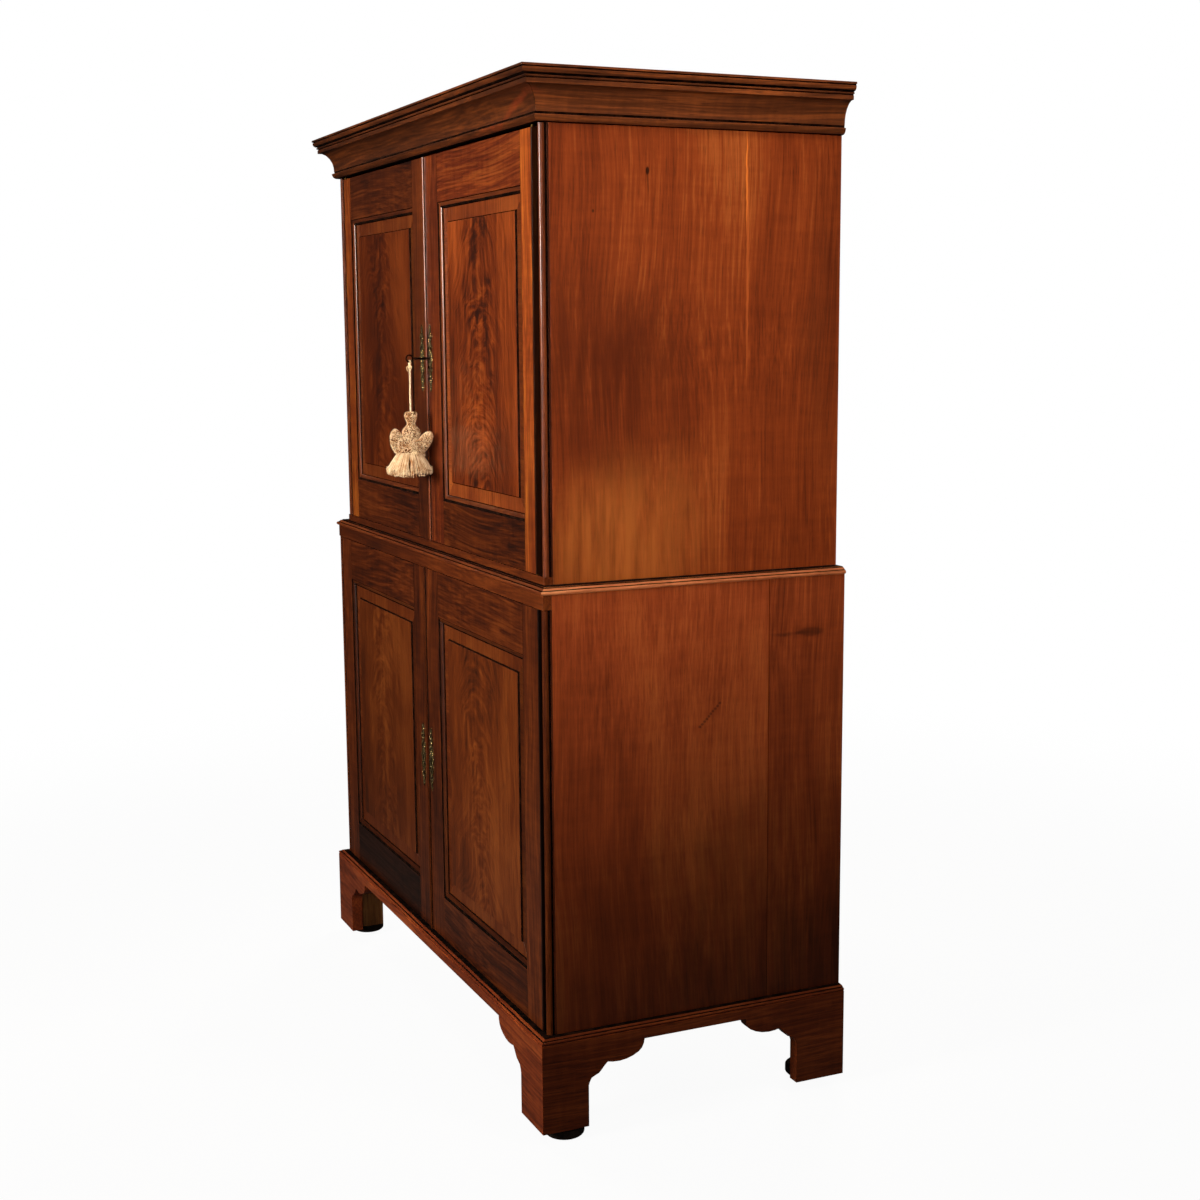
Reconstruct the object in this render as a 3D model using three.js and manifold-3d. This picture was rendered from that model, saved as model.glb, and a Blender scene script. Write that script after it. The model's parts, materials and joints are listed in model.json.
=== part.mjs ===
// Two-part linen press in mahogany: a lower cupboard on bracket feet, an upper cupboard with
// sliding trays, four panelled doors on pins, a key in the upper lock and a tassel on the key.
// Millimetres, +Z up. While the pieces are made, x = 0 is the middle, y = 0 the back, z = 0 the floor.
import * as THREE from 'three'
import { mergeVertices } from 'three/addons/utils/BufferGeometryUtils.js'
import Module from 'manifold-3d'

const wasm = await Module()
wasm.setup()

// The two cases
const lower_width = 1304
const lower_depth = 630.5
const upper_side_step = 32
const upper_front_step = 16.5
const upper_width = lower_width - 2 * upper_side_step
const upper_depth = lower_depth - upper_front_step
const side_thickness = 20
const back_thickness = 12
const board_thickness = 20
const shelf_thickness = 18
const shelf_rise = 400
const sill_height = 14.3
const rail_height = 27.2

// Feet, plinth and base moulding
const glide_height = 22
const glide_radius = 38
const glide_edge = 4
const front_glide_side_inset = 40
const front_glide_end_inset = 60
const back_glide_side_inset = 82
const back_glide_end_inset = 42
const plinth_height = 173.3
const plinth_projection = 20.2
const plinth_thickness = 26
const arch_rise = 152.5
const bracket_reach = 116
const front_leg = 108
const side_front_leg = 94
const side_back_leg = 108
const front_block_width = 60
const back_block_width = 84
const back_block_depth = 56
const back_bracket_thickness = 22
const back_bracket_reach = 45
const base_mould_height = 10.1

// Waist moulding between the cases, and the cornice
const waist_height = 13.6
const waist_projection = 5
const waist_seat = 60
const cornice_height = 91.1
const cornice_projection = 50.4
const cornice_seat = 40

// Corner columns
const column_radius = 6.25
const column_inset = 7
const column_neck = 6
const column_setback = 14
const column_strip = 4
const column_door_gap = 1

// Doors
const door_thickness = 20
const door_gap = 1.2
const door_back_gap = 1.5
const lower_door_height = 796.2
const upper_door_height = 790.8
const upper_door_top_gap = 4.5
const lower_door_inset = 21.5
const upper_door_inset = 34
const meeting_place = -8
const meeting_gap = 3
const lower_outer_stile = 77
const upper_outer_stile = 54.6
const inner_stile_left = 70.1
const inner_stile_right = 86.1
const lower_bottom_rail = 94.4
const lower_top_rail = 94.6
const upper_bottom_rail = 91
const upper_top_rail = 95.6
const moulding_width = 13
const moulding_quirk = 1.5
const moulding_depth = 8
const rebate_depth = 11.5
const rebate_cover = 8
const panel_back_depth = 18
const panel_clearance = 0.3
const panel_band = 27
const panel_band_depth = 8.5
const panel_field_depth = 5
const panel_bevel = 2
const bead_radius = 4

// Door pins
const pin_inset = 5
const pin_radius = 2.5
const pin_collar_radius = 4.2
const pin_in_door = 13
const pin_in_case = 9
const pin_clearance = 0.4

// Escutcheons, lock and key
const plate_height = 138
const plate_half_width = 13.5
const plate_thickness = 1.6
const plate_offset = 26
const upper_key_height = 1443
const lower_key_height = 590
const keyhole_radius = 3.2
const keyhole_slot = 4
const keyhole_drop = 11
const blind_depth = 8
const lock_height = 70
const lock_width = 56
const lock_depth = 11.7
const lock_wall = 2
const lock_clearance = 0.3
const chamber_radius = 11
const bolt_height = 16
const bolt_length = 40
const bolt_thickness = 6
const bolt_above_key = 5
const bolt_clearance = 0.4
const bolt_throw = 10
const notch_width = 8.4
const notch_height = 5.2
const bit_width = 3
const bit_reach = 9
const bit_length = 6
const key_radius = 2.4
const bow_distance = 46
const bow_radius = 7
const bow_wire = 1.6
const collar_place_share = 0.25

// Tassel on the key
const cord_radius = 2.2
const cord_clearance = 0.3
const cord_drop = 101
const tassel_height = 137
const tassel_radius = 46
const tassel_depth_share = 0.89

// Trays in the upper case
const tray_count = 3
const tray_first_rise = 14
const tray_top_space = 6.5
const tray_height = 200
const tray_front_height = 130
const tray_wall = 12
const tray_board = 9
const tray_tongue = 6
const tray_clearance = 1
const tray_setback = 32
const guide_thickness = 38
const guide_height = 34
const guide_upright = 60
const guide_backing = 10

// Cuts run past the surface by this much
const overrun = 2

// Levels from the floor up
const plinth_top = glide_height + plinth_height
const base_top = plinth_top + base_mould_height
const lower_door_bottom = base_top + door_gap
const rail_bottom = lower_door_bottom + lower_door_height + door_gap
const lower_top = rail_bottom + rail_height
const sill_bottom = lower_top + waist_height
const sill_top = sill_bottom + sill_height
const upper_door_bottom = sill_top + door_gap
const upper_top = upper_door_bottom + upper_door_height + upper_door_top_gap

// Planes of the two cases
const lower_half = lower_width / 2
const upper_half = upper_width / 2
const lower_front = -(lower_depth - column_setback - column_strip)
const upper_front = -(upper_depth - column_setback - column_strip)
const lower_inner_front = -(lower_depth - door_thickness - door_back_gap)
const upper_inner_front = -(upper_depth - door_thickness - door_back_gap)

// Materials, coloured as the photograph shows them
const wood = (color, roughness) => new THREE.MeshStandardMaterial({ color, roughness, metalness: 0 })
const metal = (color, roughness) => new THREE.MeshStandardMaterial({ color, roughness, metalness: 1 })
const side_wood = wood(0x7a3517, 0.35)
const door_wood = wood(0x8a3d18, 0.3)
const panel_wood = wood(0x7c2f12, 0.25)
const moulding_wood = wood(0x6a2b12, 0.3)
const inner_wood = wood(0xa9794a, 0.7)
const dark_wood = wood(0x1c1511, 0.6)
const brass = metal(0x5c4a22, 0.5)
const iron = metal(0x3a342e, 0.5)
const linen = wood(0xd9c29b, 0.95)

const part = new THREE.Group()

function add(name, geometry, material) {
  const mesh = new THREE.Mesh(geometry, material)
  mesh.name = name
  part.add(mesh)
  return mesh
}

// A box between two corners
function block(x0, x1, y0, y1, z0, z1) {
  const geometry = new THREE.BoxGeometry(Math.abs(x1 - x0), Math.abs(y1 - y0), Math.abs(z1 - z0))
  return geometry.translate((x0 + x1) / 2, (y0 + y1) / 2, (z0 + z1) / 2)
}

function toSolid(geometry) {
  const bare = geometry.clone()
  bare.deleteAttribute('normal')
  bare.deleteAttribute('uv')
  const merged = mergeVertices(bare)
  const vertProperties = new Float32Array(merged.attributes.position.array)
  const triVerts = new Uint32Array(merged.index.array)
  return new wasm.Manifold(new wasm.Mesh({ numProp: 3, vertProperties, triVerts }))
}

function toGeometry(solid) {
  const mesh = solid.getMesh()
  const geometry = new THREE.BufferGeometry()
  geometry.setAttribute('position', new THREE.BufferAttribute(mesh.vertProperties, 3))
  geometry.setIndex(new THREE.BufferAttribute(mesh.triVerts, 1))
  geometry.computeVertexNormals()
  return geometry
}

// The first shape with the others joined to it
function join(first, ...others) {
  return toGeometry(others.reduce((solid, shape) => solid.add(toSolid(shape)), toSolid(first)))
}

// The first shape with the others cut out of it
function cut(first, ...tools) {
  return toGeometry(tools.reduce((solid, tool) => solid.subtract(toSolid(tool)), toSolid(first)))
}

// A closed mesh from rings of the same number of points, with a flat face at each end
function loft(rings) {
  const count = rings[0].length
  const positions = rings.flat().flatMap((p) => [p.x, p.y, p.z])
  const faces = []
  for (let r = 0; r + 1 < rings.length; r++) {
    for (let i = 0; i < count; i++) {
      const j = (i + 1) % count
      const [a, b, c, d] = [r * count + i, r * count + j, (r + 1) * count + j, (r + 1) * count + i]
      faces.push(a, b, c, a, c, d)
    }
  }
  const last = (rings.length - 1) * count
  for (const [a, b, c] of capFaces(rings[0])) faces.push(c, b, a)
  for (const [a, b, c] of capFaces(rings[rings.length - 1])) faces.push(last + a, last + b, last + c)
  const geometry = new THREE.BufferGeometry()
  geometry.setAttribute('position', new THREE.Float32BufferAttribute(positions, 3))
  geometry.setIndex(faces)
  return outward(geometry)
}

// A ring in space as points in its own plane, for the end faces
function flatten(ring) {
  const spread = (axis) => Math.max(...ring.map((p) => p[axis])) - Math.min(...ring.map((p) => p[axis]))
  const thin = ['x', 'y', 'z'].sort((a, b) => spread(a) - spread(b))[0]
  const [u, v] = ['x', 'y', 'z'].filter((axis) => axis !== thin)
  return ring.map((p) => new THREE.Vector2(p[u], p[v]))
}

// The triangles of a flat ring, all turning the way the ring turns
function capFaces(ring) {
  const drawn = flatten(ring)
  const clockwise = THREE.ShapeUtils.isClockWise(drawn)
  return THREE.ShapeUtils.triangulateShape(drawn, []).map(([a, b, c]) =>
    THREE.ShapeUtils.isClockWise([drawn[a], drawn[b], drawn[c]]) === clockwise ? [a, b, c] : [a, c, b])
}

// Turns the faces of a closed mesh round if they point inwards, by the sign of its volume
function outward(geometry) {
  const index = geometry.index.array
  const at = (i) => new THREE.Vector3().fromBufferAttribute(geometry.attributes.position, i)
  let volume = 0
  for (let i = 0; i < index.length; i += 3) {
    volume += at(index[i]).dot(at(index[i + 1]).cross(at(index[i + 2])))
  }
  if (volume < 0) {
    for (let i = 0; i < index.length; i += 3) {
      [index[i], index[i + 1]] = [index[i + 1], index[i]]
    }
  }
  geometry.computeVertexNormals()
  return geometry
}

// A moulding that runs round the left side, the front and the right side with mitred corners.
// The profile gives projection from the case faces and height.
function mitred(profile, half_width, depth) {
  const at = (side, back) => profile.map(([out, z]) =>
    new THREE.Vector3(side * (half_width + out), back ? 0 : -(depth + out), z))
  return loft([at(-1, true), at(-1, false), at(1, false), at(1, true)])
}

// A flat outline in x and z, extruded towards the back from the plane y = front
function facing(shape, front, thickness) {
  const hole_steps_count = 4
  const options = { depth: thickness, bevelEnabled: false, curveSegments: hole_steps_count }
  const geometry = new THREE.ExtrudeGeometry(shape, options)
  return geometry.rotateX(Math.PI / 2).translate(0, front + thickness, 0)
}

// An upright rod
function rod(x, y, z0, z1, radius, sides_count) {
  const geometry = new THREE.CylinderGeometry(radius, radius, z1 - z0, sides_count)
  return geometry.rotateX(Math.PI / 2).translate(x, y, (z0 + z1) / 2)
}

// A rod that lies along y
function spindle(x, z, y0, y1, radius, sides_count) {
  const geometry = new THREE.CylinderGeometry(radius, radius, y1 - y0, sides_count)
  return geometry.translate(x, (y0 + y1) / 2, z)
}

// Bracket feet: two lobes beyond the straight leg, as shares of the reach and of the arch's rise
const small_lobe_shares = [[0, 0.53], [0.05, 0.62], [0.18, 0.665], [0.27, 0.74], [0.335, 0.79]]
const large_lobe_shares = [[0.335, 0.79], [0.5, 0.77], [0.7, 0.785], [0.88, 0.84], [0.97, 0.91], [1, 1]]
const lobe_steps_count = 8

function bracket() {
  const lobe = (shares) => new THREE.SplineCurve(shares.map(([along, up]) =>
    new THREE.Vector2(along * bracket_reach, up * arch_rise))).getPoints(lobe_steps_count)
  return [...lobe(small_lobe_shares), ...lobe(large_lobe_shares).slice(1)]
}

// The outline of one plinth board, drawn along its length, with a bracket foot at each end
function plinthOutline(length, start_leg, end_leg) {
  const shape = new THREE.Shape()
  shape.moveTo(0, 0)
  shape.lineTo(start_leg, 0)
  bracket().forEach((p) => shape.lineTo(start_leg + p.x, p.y))
  bracket().reverse().forEach((p) => shape.lineTo(length - end_leg - p.x, p.y))
  shape.lineTo(length - end_leg, 0)
  shape.lineTo(length, 0)
  shape.lineTo(length, plinth_height)
  shape.lineTo(0, plinth_height)
  return shape
}

const plinth_half = lower_half + plinth_projection
const plinth_front = -(lower_depth + plinth_projection)

// A three-sided tool that takes the far side of the 45 degree mitre off a plinth board's end
function mitreTool(side, keep_front) {
  const size = plinth_thickness + overrun
  const at = (inward, back, z) =>
    new THREE.Vector3(side * (plinth_half - inward), plinth_front + back, z)
  const ring = (z) => [
    at(-overrun, -overrun, z), at(size, size, z),
    keep_front ? at(-overrun, size, z) : at(size, -overrun, z),
  ]
  return loft([ring(glide_height - overrun), ring(plinth_top + overrun)])
}

function makePlinth() {
  const front_shape = plinthOutline(2 * plinth_half, front_leg, front_leg)
  const front_board = facing(front_shape, plinth_front, plinth_thickness)
    .translate(-plinth_half, 0, glide_height)
  add('plinth_front', cut(front_board, mitreTool(-1, true), mitreTool(1, true)), moulding_wood)
  for (const [name, side] of [['plinth_left', -1], ['plinth_right', 1]]) {
    const shape = plinthOutline(-plinth_front, side_front_leg, side_back_leg)
    const board = facing(shape, 0, plinth_thickness)
      .rotateZ(Math.PI / 2)
      .translate(side > 0 ? plinth_half : -plinth_half + plinth_thickness, plinth_front, glide_height)
    add(name, cut(board, mitreTool(side, false)), moulding_wood)
  }
}

// Glue blocks behind the feet carry the case, and each rear block has a bracket across the back
function makeFeet() {
  const top = base_top - board_thickness
  const inner = plinth_half - plinth_thickness
  const front_end = plinth_front + plinth_thickness
  const glide_flat = glide_radius - glide_edge
  const glide_profile = [
    [0, 0], [glide_flat, 0], [glide_radius, glide_edge],
    [glide_radius, glide_height - glide_edge], [glide_flat, glide_height], [0, glide_height],
  ].map(([r, z]) => new THREE.Vector2(r, z))
  const glide_sides_count = 28
  for (const [hand, side] of [['left', -1], ['right', 1]]) {
    const front_block = block(side * inner, side * (inner - front_block_width),
      front_end, front_end + front_block_width, glide_height, top)
    add(`foot_block_front_${hand}`, front_block, inner_wood)
    const back_block = block(side * inner, side * (inner - back_block_width),
      -back_block_depth, 0, glide_height, top)
    const bracket_shape = new THREE.Shape()
    bracket_shape.moveTo(0, 0)
    bracket_shape.lineTo(back_block_width, 0)
    bracket_shape.lineTo(back_block_width + back_bracket_reach, top - glide_height)
    bracket_shape.lineTo(0, top - glide_height)
    const across = facing(bracket_shape, -back_bracket_thickness, back_bracket_thickness)
    if (side > 0) across.rotateZ(Math.PI).translate(0, -back_bracket_thickness, 0)
    across.translate(side * inner, 0, glide_height)
    add(`foot_block_back_${hand}`, join(back_block, across), inner_wood)
    const places = {
      front: [front_glide_side_inset, plinth_front + front_glide_end_inset],
      back: [back_glide_side_inset, -back_glide_end_inset],
    }
    for (const [end, [side_inset, y]] of Object.entries(places)) {
      const glide = new THREE.LatheGeometry(glide_profile, glide_sides_count).rotateX(Math.PI / 2)
      add(`foot_glide_${end}_${hand}`, glide, dark_wood).position.set(side * (plinth_half - side_inset), y, 0)
    }
  }
}

// Base moulding: bead, quirk and small hollow, from shares of its projection and height
const base_profile_shares = [
  [0.88, 0], [0.88, 0.06], [0.94, 0.08], [0.98, 0.17], [1, 0.3], [0.985, 0.44], [0.94, 0.54],
  [0.87, 0.59], [0.83, 0.52], [0.79, 0.56], [0.74, 0.72], [0.66, 0.84], [0.5, 0.92], [0.1, 1],
]

function makeBaseMoulding() {
  const seat = column_setback + column_strip
  const profile = [[-seat, plinth_top], ...base_profile_shares.map(([out, up]) =>
    [out * plinth_projection, plinth_top + up * base_mould_height]), [-seat, base_top]]
  const pins = [-1, 1].map((side) => pinBore(side, lower_half - lower_door_inset, lower_depth, base_top, -1))
  add('base_moulding', cut(mitred(profile, lower_half, lower_depth), ...pins), moulding_wood)
}

// Waist moulding: a half-round bead under a small hollow, then the flat the upper case stands on
function makeWaistMoulding() {
  const bead_steps_count = 6
  const bead_height_share = 0.56
  const bead_half = waist_height * bead_height_share / 2
  const bead = []
  for (let i = 0; i <= bead_steps_count; i++) {
    const turn = -Math.PI / 2 + Math.PI * i / bead_steps_count
    bead.push([waist_projection - bead_half + bead_half * Math.cos(turn),
      lower_top + bead_half + bead_half * Math.sin(turn)])
  }
  const hollow_shares = [[0, 0.62], [-0.3, 0.74], [-0.75, 0.86], [-1.4, 0.9], [-1.4, 1]]
  const hollow = hollow_shares.map(([out, up]) => [out * waist_projection, lower_top + up * waist_height])
  const profile = [[-waist_seat, lower_top], ...bead, ...hollow, [-waist_seat, sill_bottom]]
  add('waist_moulding', mitred(profile, lower_half, lower_depth), moulding_wood)
}

// Cornice: quarter round, quirk, cove, fillet, reed, ovolo and top fillet with quirks between them,
// as shares of its projection and height from the bottom up
const cornice_profile_shares = [
  [0.06, 0], [0.16, 0.012], [0.235, 0.05], [0.275, 0.115], [0.275, 0.135], [0.175, 0.14],
  [0.175, 0.165], [0.19, 0.19], [0.2, 0.29], [0.245, 0.4], [0.34, 0.51], [0.47, 0.6], [0.62, 0.65],
  [0.755, 0.66], [0.79, 0.66], [0.79, 0.745], [0.76, 0.75], [0.76, 0.768], [0.81, 0.77],
  [0.84, 0.785], [0.84, 0.8], [0.8, 0.805], [0.8, 0.822], [0.86, 0.825], [0.92, 0.845],
  [0.96, 0.88], [0.975, 0.93], [0.94, 0.935], [0.94, 0.952], [1, 0.955], [1, 1],
]

function makeCornice() {
  const profile = [[-cornice_seat, upper_top], ...cornice_profile_shares.map(([out, up]) =>
    [out * cornice_projection, upper_top + up * cornice_height]),
  [-cornice_seat, upper_top + cornice_height]]
  const pins = [-1, 1].map((side) => pinBore(side, upper_half - upper_door_inset, upper_depth, upper_top, 1))
  add('cornice', cut(mitred(profile, upper_half, upper_depth), ...pins), moulding_wood)
}

// The bore for a door's pin in the case, below (-1) or above (1) the door
function pinBore(side, door_half, depth, level, way) {
  const ends = [level - way * overrun, level + way * pin_in_case].sort((a, b) => a - b)
  return rod(side * (door_half - pin_inset), -(depth - pin_inset), ...ends, pin_radius + pin_clearance, 12)
}

function makeLowerCase() {
  const inner = lower_half - side_thickness
  const seat = lower_half - column_setback - column_strip
  for (const [hand, side] of [['left', -1], ['right', 1]]) {
    const board = block(side * inner, side * lower_half, lower_front, 0, base_top, lower_top)
    add(`lower_side_${hand}`, board, side_wood)
    column(`lower_column_${hand}`, side, lower_half, lower_depth, lower_door_inset,
      base_top, rail_bottom)
  }
  add('lower_bottom', block(-seat, seat, lower_front, 0, base_top - board_thickness, base_top), inner_wood)
  add('lower_top', block(-inner, inner, lower_front, -back_thickness, lower_top - board_thickness, lower_top),
    inner_wood)
  add('lower_back', block(-inner, inner, -back_thickness, 0, base_top, lower_top), inner_wood)
  const shelf_level = base_top + shelf_rise
  add('lower_shelf', block(-inner, inner, lower_inner_front, -back_thickness,
    shelf_level, shelf_level + shelf_thickness), inner_wood)
  const rail = block(-lower_half, lower_half, -lower_depth, lower_front, rail_bottom, lower_top)
  const pins = [-1, 1].map((side) =>
    pinBore(side, lower_half - lower_door_inset, lower_depth, rail_bottom, 1))
  add('lower_rail', cut(rail, ...pins), door_wood)
}

// A corner column: a round bead on a neck and a thin strip that covers the side's front edge
function column(name, side, half, depth, door_inset, z0, z1) {
  const x = side * (half - column_inset)
  const y = -(depth - column_inset)
  const strip_front = -(depth - column_setback)
  const bead = rod(x, y, z0, z1, column_radius, 20)
  const neck = block(x - column_neck / 2, x + column_neck / 2, y, strip_front + column_strip / 2, z0, z1)
  const strip = block(side * (half - door_inset + column_door_gap), side * half,
    strip_front, strip_front + column_strip, z0, z1)
  add(name, join(strip, neck, bead), moulding_wood)
}

function makeUpperCase() {
  const inner = upper_half - side_thickness
  for (const [hand, side] of [['left', -1], ['right', 1]]) {
    const board = block(side * inner, side * upper_half, upper_front, 0, sill_bottom, upper_top)
    add(`upper_side_${hand}`, board, side_wood)
    column(`upper_column_${hand}`, side, upper_half, upper_depth, upper_door_inset, sill_top, upper_top)
  }
  const front_sill = block(-upper_half, upper_half, -upper_depth, upper_front, sill_bottom, sill_top)
  const floor_board = block(-inner, inner, upper_front - overrun, -back_thickness, sill_bottom, sill_top)
  const pins = [-1, 1].map((side) => pinBore(side, upper_half - upper_door_inset, upper_depth, sill_top, -1))
  add('upper_sill', cut(join(front_sill, floor_board), ...pins), door_wood)
  add('upper_top', block(-inner, inner, upper_inner_front, -back_thickness,
    upper_top - board_thickness, upper_top), inner_wood)
  add('upper_back', block(-inner, inner, -back_thickness, 0, sill_bottom, upper_top), inner_wood)
}

// A rectangle in the plane y, inset from an opening's edges
function frameRing(opening, inset, y) {
  const { x0, x1, z0, z1 } = opening
  return [
    new THREE.Vector3(x0 + inset, y, z0 + inset), new THREE.Vector3(x1 - inset, y, z0 + inset),
    new THREE.Vector3(x1 - inset, y, z1 - inset), new THREE.Vector3(x0 + inset, y, z1 - inset),
  ]
}

// The hollow of a door frame: sunk ovolo moulding round the sight edge, panel rebate behind
function openingTool(opening, face) {
  const ovolo_steps_count = 5
  const ovolo_width = moulding_width - moulding_quirk
  const ovolo_depth = moulding_depth - moulding_quirk
  const rings = [
    frameRing(opening, 0, face - overrun),
    frameRing(opening, 0, face + moulding_quirk),
    frameRing(opening, moulding_quirk, face + moulding_quirk),
  ]
  for (let i = 1; i <= ovolo_steps_count; i++) {
    const turn = Math.PI / 2 * i / ovolo_steps_count
    rings.push(frameRing(opening, moulding_quirk + ovolo_width * Math.sin(turn),
      face + moulding_quirk + ovolo_depth * (1 - Math.cos(turn))))
  }
  rings.push(
    frameRing(opening, moulding_width, face + rebate_depth),
    frameRing(opening, moulding_width - rebate_cover, face + rebate_depth),
    frameRing(opening, moulding_width - rebate_cover, face + door_thickness + overrun),
  )
  return loft(rings)
}

// A raised and fielded panel: the edge in the rebate, a flat band, a bevel and the raised field
function panelSolid(opening, face) {
  const edge = moulding_width - rebate_cover + panel_clearance
  const band = moulding_width + panel_clearance
  const field = moulding_width + panel_band
  return loft([
    frameRing(opening, edge, face + panel_back_depth),
    frameRing(opening, edge, face + rebate_depth),
    frameRing(opening, band, face + rebate_depth),
    frameRing(opening, band, face + panel_band_depth),
    frameRing(opening, field, face + panel_band_depth),
    frameRing(opening, field + panel_bevel, face + panel_field_depth),
  ])
}

// A keyhole cut: a round hole over a slot
function keyholeTool(x, z, y0, y1) {
  const slot = block(x - keyhole_slot / 2, x + keyhole_slot / 2, y0, y1, z - keyhole_drop, z)
  return join(slot, spindle(x, z, y0, y1, keyhole_radius, 16))
}

const doors = [
  { name: 'upper_left', side: -1, upper: true }, { name: 'upper_right', side: 1, upper: true },
  { name: 'lower_left', side: -1, upper: false }, { name: 'lower_right', side: 1, upper: false },
]

function doorPlaces({ side, upper }) {
  const face = -(upper ? upper_depth : lower_depth)
  const z0 = upper ? upper_door_bottom : lower_door_bottom
  const z1 = z0 + (upper ? upper_door_height : lower_door_height)
  const outer = side * (upper ? upper_half - upper_door_inset : lower_half - lower_door_inset)
  const meeting = meeting_place + side * meeting_gap / 2
  const outer_stile = upper ? upper_outer_stile : lower_outer_stile
  const inner_stile = side > 0 ? inner_stile_right : inner_stile_left
  const opening_edges = [outer - side * outer_stile, meeting + side * inner_stile].sort((a, b) => a - b)
  const opening = {
    x0: opening_edges[0], x1: opening_edges[1],
    z0: z0 + (upper ? upper_bottom_rail : lower_bottom_rail),
    z1: z1 - (upper ? upper_top_rail : lower_top_rail),
  }
  const key_x = meeting_place + side * plate_offset
  const key_z = upper ? upper_key_height : lower_key_height
  return { face, z0, z1, outer, meeting, opening, key_x, key_z }
}

// Where the upper lock sits: let into the back of the upper right door at its meeting edge
const lock_place = doorPlaces(doors[1])
const lock_back = -(upper_depth - door_thickness)
const lock_front = lock_back - lock_depth
const bolt_bottom = upper_key_height + bolt_above_key
const bolt_front = lock_front + lock_wall + bolt_clearance
const bolt_start = lock_place.meeting + lock_clearance

function lockPocket() {
  return block(lock_place.meeting - overrun, lock_place.meeting + lock_width + lock_clearance,
    lock_front - lock_clearance, lock_back + overrun,
    upper_key_height - lock_height / 2 - lock_clearance, upper_key_height + lock_height / 2 + lock_clearance)
}

// The slot in the upper left door's edge that the bolt is thrown into
function strikeSlot() {
  const edge = doorPlaces(doors[0]).meeting
  const reach = bolt_throw + lock_clearance
  return block(edge - reach, edge + overrun, bolt_front - bolt_clearance,
    bolt_front + bolt_thickness + bolt_clearance, bolt_bottom - bolt_clearance,
    bolt_bottom + bolt_height + bolt_clearance)
}

function makeDoor(door) {
  const { face, z0, z1, outer, meeting, opening, key_x, key_z } = doorPlaces(door)
  const pin_x = outer - door.side * pin_inset
  const pin_y = face + pin_inset
  const bore = pin_radius + pin_clearance
  const tools = [
    openingTool(opening, face),
    rod(pin_x, pin_y, z0 - overrun, z0 + pin_in_door, bore, 12),
    rod(pin_x, pin_y, z1 - pin_in_door, z1 + overrun, bore, 12),
  ]
  if (door.name === 'upper_right') {
    tools.push(lockPocket(), keyholeTool(key_x, key_z, face - overrun, lock_front))
  } else {
    tools.push(keyholeTool(key_x, key_z, face - overrun, face + blind_depth))
  }
  if (door.name === 'upper_left') tools.push(strikeSlot())
  let board = block(outer, meeting, face, face + door_thickness, z0, z1)
  if (door.side > 0) board = join(board, rod(meeting + bead_radius, face, z0, z1, bead_radius, 16))
  add(`${door.name}_door_frame`, cut(board, ...tools), door_wood)
  add(`${door.name}_door_panel`, panelSolid(opening, face), panel_wood)
  const top_gap = door.upper ? upper_door_top_gap : door_gap
  for (const [end, level, way, gap] of [['bottom', z0, -1, door_gap], ['top', z1, 1, top_gap]]) {
    addPin(`${door.name}_${end}_pin`, pin_x, pin_y, level, way, gap)
  }
  addPlate(`${door.name}_escutcheon`, key_x, key_z, face)
}

// A pin with a collar that fills the gap between door and case
function addPin(name, x, y, level, way, gap) {
  const profile = [
    [0, -pin_in_case], [pin_radius, -pin_in_case], [pin_radius, 0], [pin_collar_radius, 0],
    [pin_collar_radius, gap], [pin_radius, gap],
    [pin_radius, gap + pin_in_door - pin_clearance], [0, gap + pin_in_door - pin_clearance],
  ].map(([r, z]) => new THREE.Vector2(r, z))
  const geometry = new THREE.LatheGeometry(profile, 12).rotateX(Math.PI / 2)
  if (way > 0) geometry.rotateX(Math.PI)
  add(name, geometry, brass).position.set(x, y, level + way * gap)
}

// Half width of the pierced plate as shares of its widest, from the middle to the tip
const plate_width_shares = [
  [0, 1], [0.07, 0.98], [0.13, 0.78], [0.18, 0.62], [0.23, 0.7], [0.3, 0.9], [0.37, 0.86], [0.43, 0.58],
  [0.48, 0.42], [0.54, 0.6], [0.62, 0.8], [0.69, 0.72], [0.75, 0.42], [0.8, 0.3], [0.86, 0.42], [0.92, 0.4],
  [0.97, 0.2], [1, 0.04],
]
// Pierced holes: place up the plate, place across, half height and half width, as shares
const plate_hole_shares = [
  [0.28, 0.45, 0.055, 0.2], [0.36, 0, 0.07, 0.16], [0.6, 0.34, 0.05, 0.18], [0.72, 0, 0.05, 0.12],
]

function addPlate(name, x, z, face) {
  const half_height = plate_height / 2
  const right = plate_width_shares.map(([up, out]) => [out * plate_half_width, up * half_height])
  const lower_right = right.slice(1).reverse().map(([px, pz]) => [px, -pz])
  const edge = [...lower_right, ...right]
  const outline = [...edge, ...edge.slice().reverse().map(([px, pz]) => [-px, pz])]
  const shape = new THREE.Shape(outline.map(([px, pz]) => new THREE.Vector2(px, pz)))
  for (const [up, across, half_tall, half_wide] of plate_hole_shares) {
    for (const rise of [-1, 1]) {
      for (const hand of across ? [-1, 1] : [1]) {
        const hole = new THREE.Path()
        hole.absellipse(hand * across * plate_half_width, rise * up * half_height,
          half_wide * plate_half_width, half_tall * half_height, 0, 2 * Math.PI, true)
        shape.holes.push(hole)
      }
    }
  }
  const plate = facing(shape, -plate_thickness, plate_thickness)
  const keyhole = keyholeTool(0, 0, -plate_thickness - overrun, overrun)
  add(name, cut(plate, keyhole).translate(x, face, z), brass)
}

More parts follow.
